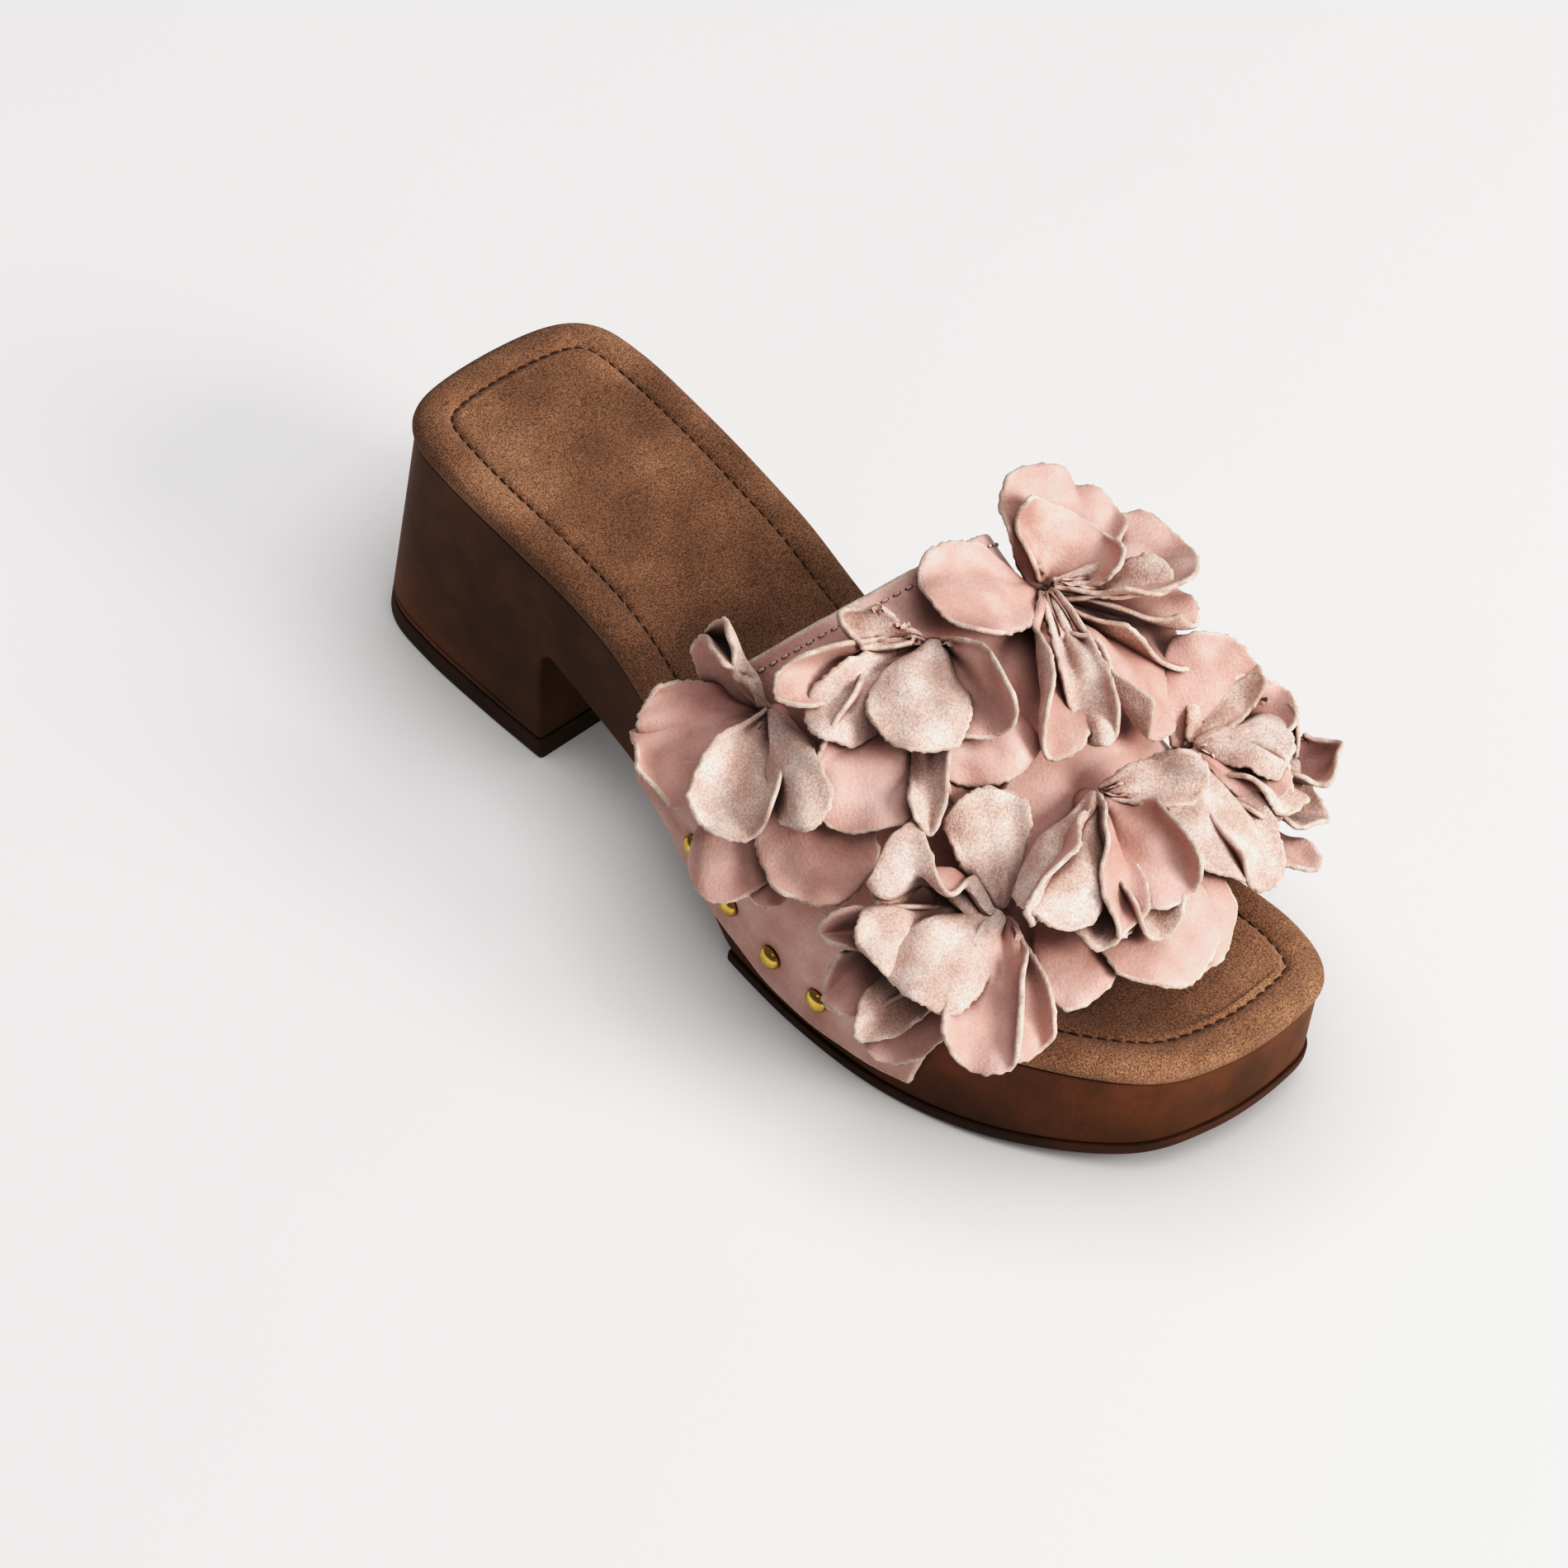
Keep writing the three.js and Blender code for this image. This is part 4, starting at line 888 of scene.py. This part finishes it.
def leather_sheet(grid, thickness, outer, inner, edge, ragged, seed):
    """Patches of a sheet with the grid at its outer face and a rounded cut edge."""
    normal = surface_normals(grid)
    middle = grid - normal * thickness / 2
    under = grid - normal * thickness
    n, m = grid.shape[:2]
    loop = [(i, 0) for i in range(n)] + [(n - 1, j) for j in range(1, m)]
    loop += [(i, m - 1) for i in range(n - 2, -1, -1)] + [(0, j) for j in range(m - 2, 0, -1)]
    i, j = np.array(loop).T
    rim, up = middle[i, j], normal[i, j]
    tangent = unit(np.roll(rim, -1, axis=0) - np.roll(rim, 1, axis=0))
    away = unit(np.cross(tangent, up))
    if np.sum(away * (rim - middle.mean(axis=(0, 1)))) < 0:
        away = -away
    random = np.random.default_rng(seed)
    travelled = np.cumsum(np.linalg.norm(rim - np.roll(rim, 1, axis=0), axis=1))
    knots = random.uniform(-1, 1, int(travelled[-1] / TEAR_PITCH) + 2)
    tear = np.interp(travelled, np.linspace(0, travelled[-1], len(knots)), knots)
    tear = 1 + ragged * tear[:, None]
    rows = []
    for angle in np.radians([90, 45, 0, -45, -90]):
        reach = away * math.cos(angle) * tear + up * math.sin(angle)
        rows.append(rim + reach * thickness / 2)
    band = np.stack(rows)
    band = np.concatenate([band, band[:, :1]], axis=1)
    return [(grid, outer), (under, inner), (band, edge)]


STUD_PLACES = []
for stud_side in (1, -1):
    for number in range(STUDS_PER_SIDE):
        stud_run = lerp(STUD_FIRST, STUD_LAST, number / (STUDS_PER_SIDE - 1))
        hem_to_rim = np.linalg.norm(
            vamp_points(-stud_side, stud_run) - vamp_points(-stud_side * (1 - WALL_SHARE), stud_run)
        )
        stud_out = -stud_side * (1 - WALL_SHARE * STUD_INSET / hem_to_rim)
        STUD_PLACES.append((stud_side, number, stud_out, stud_run))


def vamp_surface(na=190, nb=100):
    """Outer face of the vamp, drawn in at each stud and softly uneven."""
    out = np.linspace(1, -1, na + 1)
    out = out + 0.05 * np.sin(math.pi * (1 - out))
    run = np.linspace(0, 1, nb + 1)
    grid = vamp_points(*np.meshgrid(out, run, indexing="ij"))
    normal = surface_normals(grid)
    dent = np.zeros(grid.shape[:2])
    for _, _, stud_out, stud_run in STUD_PLACES:
        centre = vamp_points(stud_out, stud_run)
        distance = np.linalg.norm(grid - centre, axis=-1)
        dent += -DENT_DEPTH * np.exp(-((distance / DENT_RADIUS) ** 2))
        dent += LIP_HEIGHT * np.exp(-(((distance - LIP_RADIUS) / LIP_WIDTH) ** 2))
    soft = ripple(grid, 34, 11) * 0.3 + ripple(grid, 15, 12) * 0.12
    return grid + normal * (dent + soft * 0.8)[..., None]


def make_vamp(grid):
    patches = leather_sheet(grid, VAMP_WALL, 0, 1, 2, VAMP_TEAR, seed=21)
    return mesh_object("leather_vamp", patches, [GRAIN, LINING, RAW_EDGE], sharp=50)


def capsule(start, end, radius, up, sag=0.0, sides=6):
    """Rings of a short round stitch between two points."""
    along = unit(end - start)
    side = unit(np.cross(along, up))
    rings = []
    for t, r in ((0, 0.25), (0.08, 0.8), (0.3, 1), (0.7, 1), (0.92, 0.8), (1, 0.25)):
        centre = start + (end - start) * t + up * sag * math.sin(math.pi * t)
        angles = np.linspace(0, 2 * math.pi, sides + 1)
        circle = np.cos(angles)[:, None] * side + np.sin(angles)[:, None] * up
        circle[-1] = circle[0]
        rings.append(centre + circle * radius * r)
    return np.stack(rings)


def stitches(name, line, normals, pitch, length, radius, material, lift=0.0, gap_twist=0.0):
    """A row of stitches along a line of points."""
    step = np.linalg.norm(np.diff(line, axis=0), axis=1)
    travelled = np.concatenate([[0], np.cumsum(step)])
    count = int(travelled[-1] / pitch)
    patches = []
    for k in range(count):
        at = (k + 0.5) * travelled[-1] / count
        ends = []
        for s in (at - length / 2, at + length / 2):
            ends.append(np.array([np.interp(s, travelled, line[:, c]) for c in range(3)]))
        up = unit(np.array([np.interp(at, travelled, normals[:, c]) for c in range(3)]))
        side = np.cross(unit(ends[1] - ends[0]), up) * gap_twist
        first, last = ends[0] + up * lift - side, ends[1] + up * lift + side
        patches.append((capsule(first, last, radius, up, radius * 0.4), 0))
    return mesh_object(name, patches, [material], sharp=80)


def footbed_stitch_line():
    y = columns(BACK_Y, TOE_Y, 300)
    level = FOOTBED_THICKNESS * STITCH_LEVEL
    rows = [footbed_row(side, y, STITCH_INSET, level) for side in (1, -1)]
    return np.vstack([rows[0], rows[1][::-1][1:]])


def vamp_stitch_line(grid, distance):
    """A line a set distance in from the vamp's back edge, with normals."""
    normal = surface_normals(grid)
    line, ups = [], []
    for i in range(2, grid.shape[0] - 2):
        step = np.linalg.norm(np.diff(grid[i], axis=0), axis=1)
        travelled = np.concatenate([[0], np.cumsum(step)])
        line.append([np.interp(distance, travelled, grid[i, :, c]) for c in range(3)])
        ups.append([np.interp(distance, travelled, normal[i, :, c]) for c in range(3)])
    return np.array(line), unit(np.array(ups))


# Studs and flowers

def standing(point, up, forward):
    """Rotation and place that stand an object on a point, z along up and y along forward."""
    ahead = unit(forward - up * (forward @ up))
    lateral = np.cross(ahead, up)
    return np.stack([lateral, ahead, up], axis=1), point


def lathe(profile, sides):
    angles = np.linspace(0, 2 * math.pi, sides + 1)
    ring = np.stack([np.cos(angles), np.sin(angles)], axis=-1)
    ring[-1] = ring[0]
    rows = [np.column_stack([ring * r, np.full(sides + 1, z)]) for r, z in profile]
    return np.stack(rows)


def make_stud(side, number, out, run):
    r = STUD_DIAMETER / 2
    profile = [(0, 0), (r * 0.9, 0), (r * 0.98, STUD_FOOT * 0.3), (r, STUD_FOOT)]
    for t in np.linspace(0, 1, 9)[1:]:
        angle = math.pi / 2 * t
        dome = (STUD_HEIGHT - STUD_FOOT) * math.sin(angle)
        profile.append((r * math.cos(angle), STUD_FOOT + dome))
    profile[-1] = (0, STUD_HEIGHT)
    point, up, forward = vamp_frame(out, run)
    turn, origin = standing(point - up * STUD_SINK, up, forward)
    grid = lathe(profile, 32) @ turn.T + origin
    name = "lateral" if side > 0 else "medial"
    made = mesh_object(f"brass_{name}_{number + 1}", [(grid, 0)], [BRASS], sharp=60)
    return add(made, "stud", f"stud_{name}_{number + 1}")


def make_pinholes():
    """Flat dark dots, painted shade of the holes where the flowers' threads were drawn through the vamp.
    """
    patches = []
    for out, run in PINHOLES:
        point, up, forward = vamp_frame(out, run)
        turn, origin = standing(point, up, forward)
        dot = lathe([(0.42, -0.2), (0.38, 0.28), (0, 0.3)], 10)
        patches.append((dot @ turn.T + origin, 0))
    return mesh_object("flower_pinholes", patches, [PAINTED_HOLE_SHADE], sharp=60)


class Ground:
    """Surfaces that petals lie on: pushes points out until they are clear of them."""

    BESIDE = 1.5  # a point farther than this from the surface's normal isn't over it

    def __init__(self):
        self.layers = []

    def add(self, grid):
        n, m = grid.shape[:2]
        faces = []
        for i in range(n - 1):
            for j in range(m - 1):
                a = i * m + j
                faces.append((a, a + m, a + m + 1, a + 1))
        self.layers.append(BVHTree.FromPolygons([Vector(p) for p in grid.reshape(-1, 3)], faces))

    def push(self, grid, clearance, reach=14.0):
        made = grid.copy()
        for layer in self.layers:
            shift = np.zeros_like(made)
            for index in np.ndindex(made.shape[:2]):
                point = Vector(made[index])
                found, normal, _, _ = layer.find_nearest(point, reach)
                if found is None:
                    continue
                offset = point - found
                height = offset.dot(normal)
                if height < clearance and (offset - normal * height).length < self.BESIDE:
                    shift[index] = np.array(normal) * (clearance - height)
            made += shift
        return made


def petal_spine(row, a, long):
    """Places along a petal's middle, with its directions to the right and up."""
    elevation = np.radians(row["rise"] + row["curl"] * a + row["tip"] * smoothstep(0.6, 1, a))
    heading = np.radians(row["turn"] + row["sweep"] * a)
    roll = np.radians(row["tilt"] + row["twist"] * a)
    flat = np.stack([np.sin(heading), np.cos(heading), 0 * a], axis=-1)
    aside = np.stack([np.cos(heading), -np.sin(heading), 0 * a], axis=-1)
    along = flat * np.cos(elevation)[:, None] + (0, 0, 1) * np.sin(elevation)[:, None]
    above = np.cross(aside, along)
    right = aside * np.cos(roll)[:, None] + above * np.sin(roll)[:, None]
    up = above * np.cos(roll)[:, None] - aside * np.sin(roll)[:, None]
    start = flat[0] * HUB_RADIUS * 0.4 + (0, 0, HUB_HEIGHT * 0.3 + row["layer"] * LAYER_STEP)
    steps = (along[1:] + along[:-1]) / 2 * np.diff(a)[:, None] * long
    return start + np.vstack([np.zeros(3), np.cumsum(steps, axis=0)]), right, up


def petal_section(row, a, b, random):
    """Sideways and upward offsets across a petal, from its cup and its turned edges."""
    gather = 1 + HUB_GATHER * (1 - smoothstep(0, 0.45, a))
    edges = smoothstep(0.15, 0.5, a) * smoothstep(0.3, 0.9, np.abs(b))
    loose = random.uniform(*LOOSE_CURL, 2)
    turned = np.where(b > 0, row["right"] or loose[0], -(row["left"] or loose[1]))
    bend = np.radians(row["cup"] * CUP_DEPTH / 2 * b * gather + turned * edges)
    bend = MOST_ROLL * np.tanh(bend / MOST_ROLL)
    width = row["wide"] * PETAL_WIDTH / 2 * between(PETAL_SHAPE, "at", "width", a[:, 0])
    width = width * (1 + random.uniform(-0.08, 0.08) * np.sin(4 * a[:, 0]))
    fine = np.linspace(-1, 1, 121)
    side, lift = np.zeros_like(b), np.zeros_like(b)
    for i in range(len(a)):
        angle = np.interp(fine, b[i, ::-1], bend[i, ::-1])
        for made, part in ((side, np.cos(angle)), (lift, np.sin(angle))):
            steps = (part[1:] + part[:-1]) / 2 * np.diff(fine)
            total = np.concatenate([[0], np.cumsum(steps)])
            made[i] = np.interp(b[i], fine, total - total[len(fine) // 2]) * width[i]
    return side, lift


def petal_unevenness(a, b, flat_place, seed, random):
    """Ruffled rim and tip, pleats at the hub and crumples over the whole petal."""
    rim = np.abs(b) ** 2 * smoothstep(0.1, 0.6, a)
    tip = smoothstep(0.6, 1, a)
    phase = random.uniform(0, 2 * math.pi, 3)
    ruffle = np.sin(a * random.uniform(7, 10) + phase[0] + b * 1.5) * rim
    ruffle += 0.6 * np.sin(b * random.uniform(3, 5) + phase[1]) * tip
    pleat = PLEAT_HEIGHT * np.cos(b * random.uniform(5, 8) + phase[2])
    pleat = pleat * (1 - smoothstep(0.15, 0.85, a)) * smoothstep(0, 0.15, a)
    crumple = ripple(flat_place, 15, seed) * 1.2 + ripple(flat_place, 8, seed + 1) * 0.4
    return ruffle * RUFFLE_HEIGHT + pleat + crumple


def petal_grid(row, seed, na=34, nb=28):
    """Middle surface of a petal, from the hub on the z axis; its first side is the right one."""
    random = np.random.default_rng(seed)
    along = np.linspace(0, 1, na + 1) ** 0.9
    across = np.linspace(1, -1, nb + 1)
    long = row["long"] * PETAL_LENGTH * SHORTENING
    spine, right, up = petal_spine(row, along, long)
    a, b = np.meshgrid(along, across, indexing="ij")
    side, lift = petal_section(row, a, b, random)
    flat_place = np.stack([side, a * long, 0 * a], axis=-1)
    uneven = petal_unevenness(a, b, flat_place, seed, random)
    lift = lift + uneven * (LEAST_WAVE + row["wave"]) + PETAL_THICKNESS / 2
    sheet = spine[:, None] + right[:, None] * side[..., None] + up[:, None] * lift[..., None]
    for j, place_across in enumerate(across):
        shorter = along * (1 - TIP_ROUNDING * abs(place_across) ** 2.2)
        column = [np.interp(shorter, along, sheet[:, j, c]) for c in range(3)]
        sheet[:, j] = np.stack(column, axis=-1)
    return sheet


def blurred(field, times):
    """The field with each value spread over its neighbours."""
    for _ in range(times):
        padded = np.pad(field, ((1, 1), (1, 1), (0, 0)), "edge")
        beside = padded[1:-1, :-2] + padded[1:-1, 2:]
        field = (padded[:-2, 1:-1] + padded[2:, 1:-1] + beside + field) / 5
    return field


def make_flower(number, out, run, petals, ground):
    """Petals round a hub whose axis leans halfway from the vamp's normal to upright."""
    point, up, forward = vamp_frame(out, run)
    axis = unit(up + np.array([0, 0, 1]))
    turn, origin = standing(point, axis, forward)
    patches = []
    for k, row in enumerate(petals):
        seed = 100 * number + k
        grid = petal_grid(row, seed) @ turn.T + origin
        clear = PETAL_THICKNESS / 2 + PETAL_CLEARANCE + LAYER_CLEARANCE * row["layer"]
        moved = ground.push(grid, clear)
        grid = grid + blurred(moved - grid, 3)
        grid = ground.push(grid, clear)
        outer, inner = (0, 1) if row["face"] == "g" else (1, 0)
        top = grid + surface_normals(grid) * PETAL_THICKNESS / 2
        patches += leather_sheet(top, PETAL_THICKNESS, outer, inner, 2, PETAL_TEAR, seed)
    wide, narrow = HUB_RADIUS * 0.8, HUB_RADIUS * 0.5
    hub = [(wide, -1.5), (wide, 1.0), (narrow, 2.6), (0, 3.2)]
    patches.append((lathe(hub, 20) @ turn.T + origin, 0))
    made = mesh_object(f"flower_{number}_petals", patches, [GRAIN, FLESH, RAW_EDGE], sharp=70)
    return add(made, "grain", f"flower_{number}")


# Camera, floor and light

IMAGE_WIDTH = 1900
FOCAL_LENGTH = 6500  # in pixels of the image
CAMERA_PLACE = (0.66521, 0.61719, 0.96366)
CAMERA_RIGHT = Vector((-0.71034, 0.69610, 0.10424))
CAMERA_TOP = Vector((-0.47531, -0.58363, 0.65838))
FLOOR_HALF = 9.0
# Painted light: the floor glows on its own, and the glow is dimmed near the shoe as painted contact
# shade.
PAINTED_FLOOR_GLOW = 0.58
PAINTED_CONTACT_SHADE_REACH = 0.04
WORLD_STRENGTH = 0.22
VIEW_GAMMA = 0.86
TONE_CURVE = [(0.08, 0.045), (0.2, 0.155), (0.4, 0.39), (0.7, 0.7)]  # soft whites, deep shadows
WHITEST = 0.92


def make_camera():
    data = bpy.data.cameras.new("camera")
    data.sensor_width = 36
    data.lens = FOCAL_LENGTH / IMAGE_WIDTH * data.sensor_width
    data.clip_end = 20
    camera = bpy.data.objects.new("camera", data)
    turn = Matrix((CAMERA_RIGHT, CAMERA_TOP, CAMERA_RIGHT.cross(CAMERA_TOP))).transposed()
    camera.matrix_world = Matrix.Translation(CAMERA_PLACE) @ turn.to_4x4()
    bpy.context.scene.collection.objects.link(camera)
    bpy.context.scene.camera = camera


def make_floor():
    """Pale paper with a glow of its own, painted light that lifts the shadows, fading to painted contact
    shade close to the shoe.
    """
    mesh = bpy.data.meshes.new("floor")
    ways = ((-1, -1), (1, -1), (1, 1), (-1, 1))
    mesh.from_pydata([(x * FLOOR_HALF, y * FLOOR_HALF, 0) for x, y in ways], [], [(0, 1, 2, 3)])
    floor = bpy.data.objects.new("floor", mesh)
    paper = Surface("pale_floor", 0.95, Specular_IOR_Level=0.1)
    tone = paper.ramp(paper.noise(300, 2), (0.3, linear(158, 156, 155)), (0.7, linear(161, 159, 158)))
    paper.colour(tone)
    # Painted contact shade: ambient occlusion dims the floor's painted glow where the shoe stands close.
    painted_contact_shade = paper.nodes.new("ShaderNodeAmbientOcclusion")
    painted_contact_shade.inputs["Distance"].default_value = PAINTED_CONTACT_SHADE_REACH
    painted_contact_shade.samples = 8
    glow = paper.mix(1.0, painted_contact_shade.outputs["Color"], (0.98, 0.97, 0.965, 1), "MULTIPLY")
    paper.links.new(glow, paper.shader.inputs["Emission Color"])
    paper.shader.inputs["Emission Strength"].default_value = PAINTED_FLOOR_GLOW
    mesh.materials.append(paper.material)
    bpy.context.scene.collection.objects.link(floor)


def area_light(name, place_at, aim, size, power, colour):
    data = bpy.data.lights.new(name, "AREA")
    data.size = size
    data.energy = power
    data.color = colour
    light = bpy.data.objects.new(name, data)
    light.location = place_at
    light.rotation_euler = (Vector(aim) - Vector(place_at)).to_track_quat("-Z", "Y").to_euler()
    bpy.context.scene.collection.objects.link(light)


def make_lights():
    """A key from beyond the toe, a wide soft top light and a faint even world."""
    aim = (0, 0.08, 0.03)
    area_light("key", (-0.6, 1.9, 1.25), aim, size=0.9, power=48, colour=(1.0, 0.98, 0.96))
    area_light("top", (-0.15, 0.45, 2.4), aim, size=2.2, power=34, colour=(0.99, 0.99, 1.0))
    world = bpy.data.worlds.new("studio")
    world.use_nodes = True
    background = world.node_tree.nodes["Background"]
    background.inputs["Color"].default_value = (0.98, 0.985, 1.0, 1)
    background.inputs["Strength"].default_value = WORLD_STRENGTH
    bpy.context.scene.world = world


def set_tones():
    view = bpy.context.scene.view_settings
    view.view_transform = "Standard"
    view.gamma = VIEW_GAMMA
    view.use_curve_mapping = True
    curve = view.curve_mapping.curves[3].points
    curve[0].location = (0, 0)
    curve[1].location = (1, WHITEST)
    for x, y in TONE_CURVE:
        curve.new(x, y)
    view.curve_mapping.extend = "HORIZONTAL"
    view.curve_mapping.update()


make_camera()
make_floor()
make_lights()
set_tones()

add(make_sole(), "base", "sole")
add(make_heel_top_piece(), "tread", "heel_top_piece")
add(make_outsole(), "tread", "outsole")
add(make_footbed(), "suede", "footbed")

bed_line = footbed_stitch_line()
bed_up = np.tile((0.0, 0.0, 1.0), (len(bed_line), 1))
bed_stitches = stitches(
    "footbed_stitches", bed_line, bed_up, STITCH_PITCH,
    length=2.3, radius=0.24, material=BROWN_THREAD, lift=0.1, gap_twist=0.12,
)
add(bed_stitches, "suede")

vamp_grid = vamp_surface()
add(make_vamp(vamp_grid), "grain", "vamp")
edge_line, edge_up = vamp_stitch_line(vamp_grid, EDGE_STITCH_INSET)
edge_stitches = stitches(
    "vamp_stitches", edge_line, edge_up, STITCH_PITCH,
    length=1.6, radius=0.36, material=PALE_THREAD, lift=0.2,
)
add(edge_stitches, "grain")
# Painted shade of the needle holes: dark sunk stitches that show round the pale ones.
needle_holes = stitches(
    "vamp_needle_holes", edge_line, edge_up, STITCH_PITCH,
    length=2.5, radius=0.42, material=PAINTED_HOLE_SHADE, lift=-0.3,
)
add(needle_holes, "grain")
add(make_pinholes(), "grain")

for stud in STUD_PLACES:
    make_stud(*stud)

ground = Ground()
ground.add(vamp_grid)
for index, (hub_out, hub_run, hub_petals) in enumerate(FLOWERS):
    make_flower(index + 1, hub_out, hub_run, hub_petals, ground)
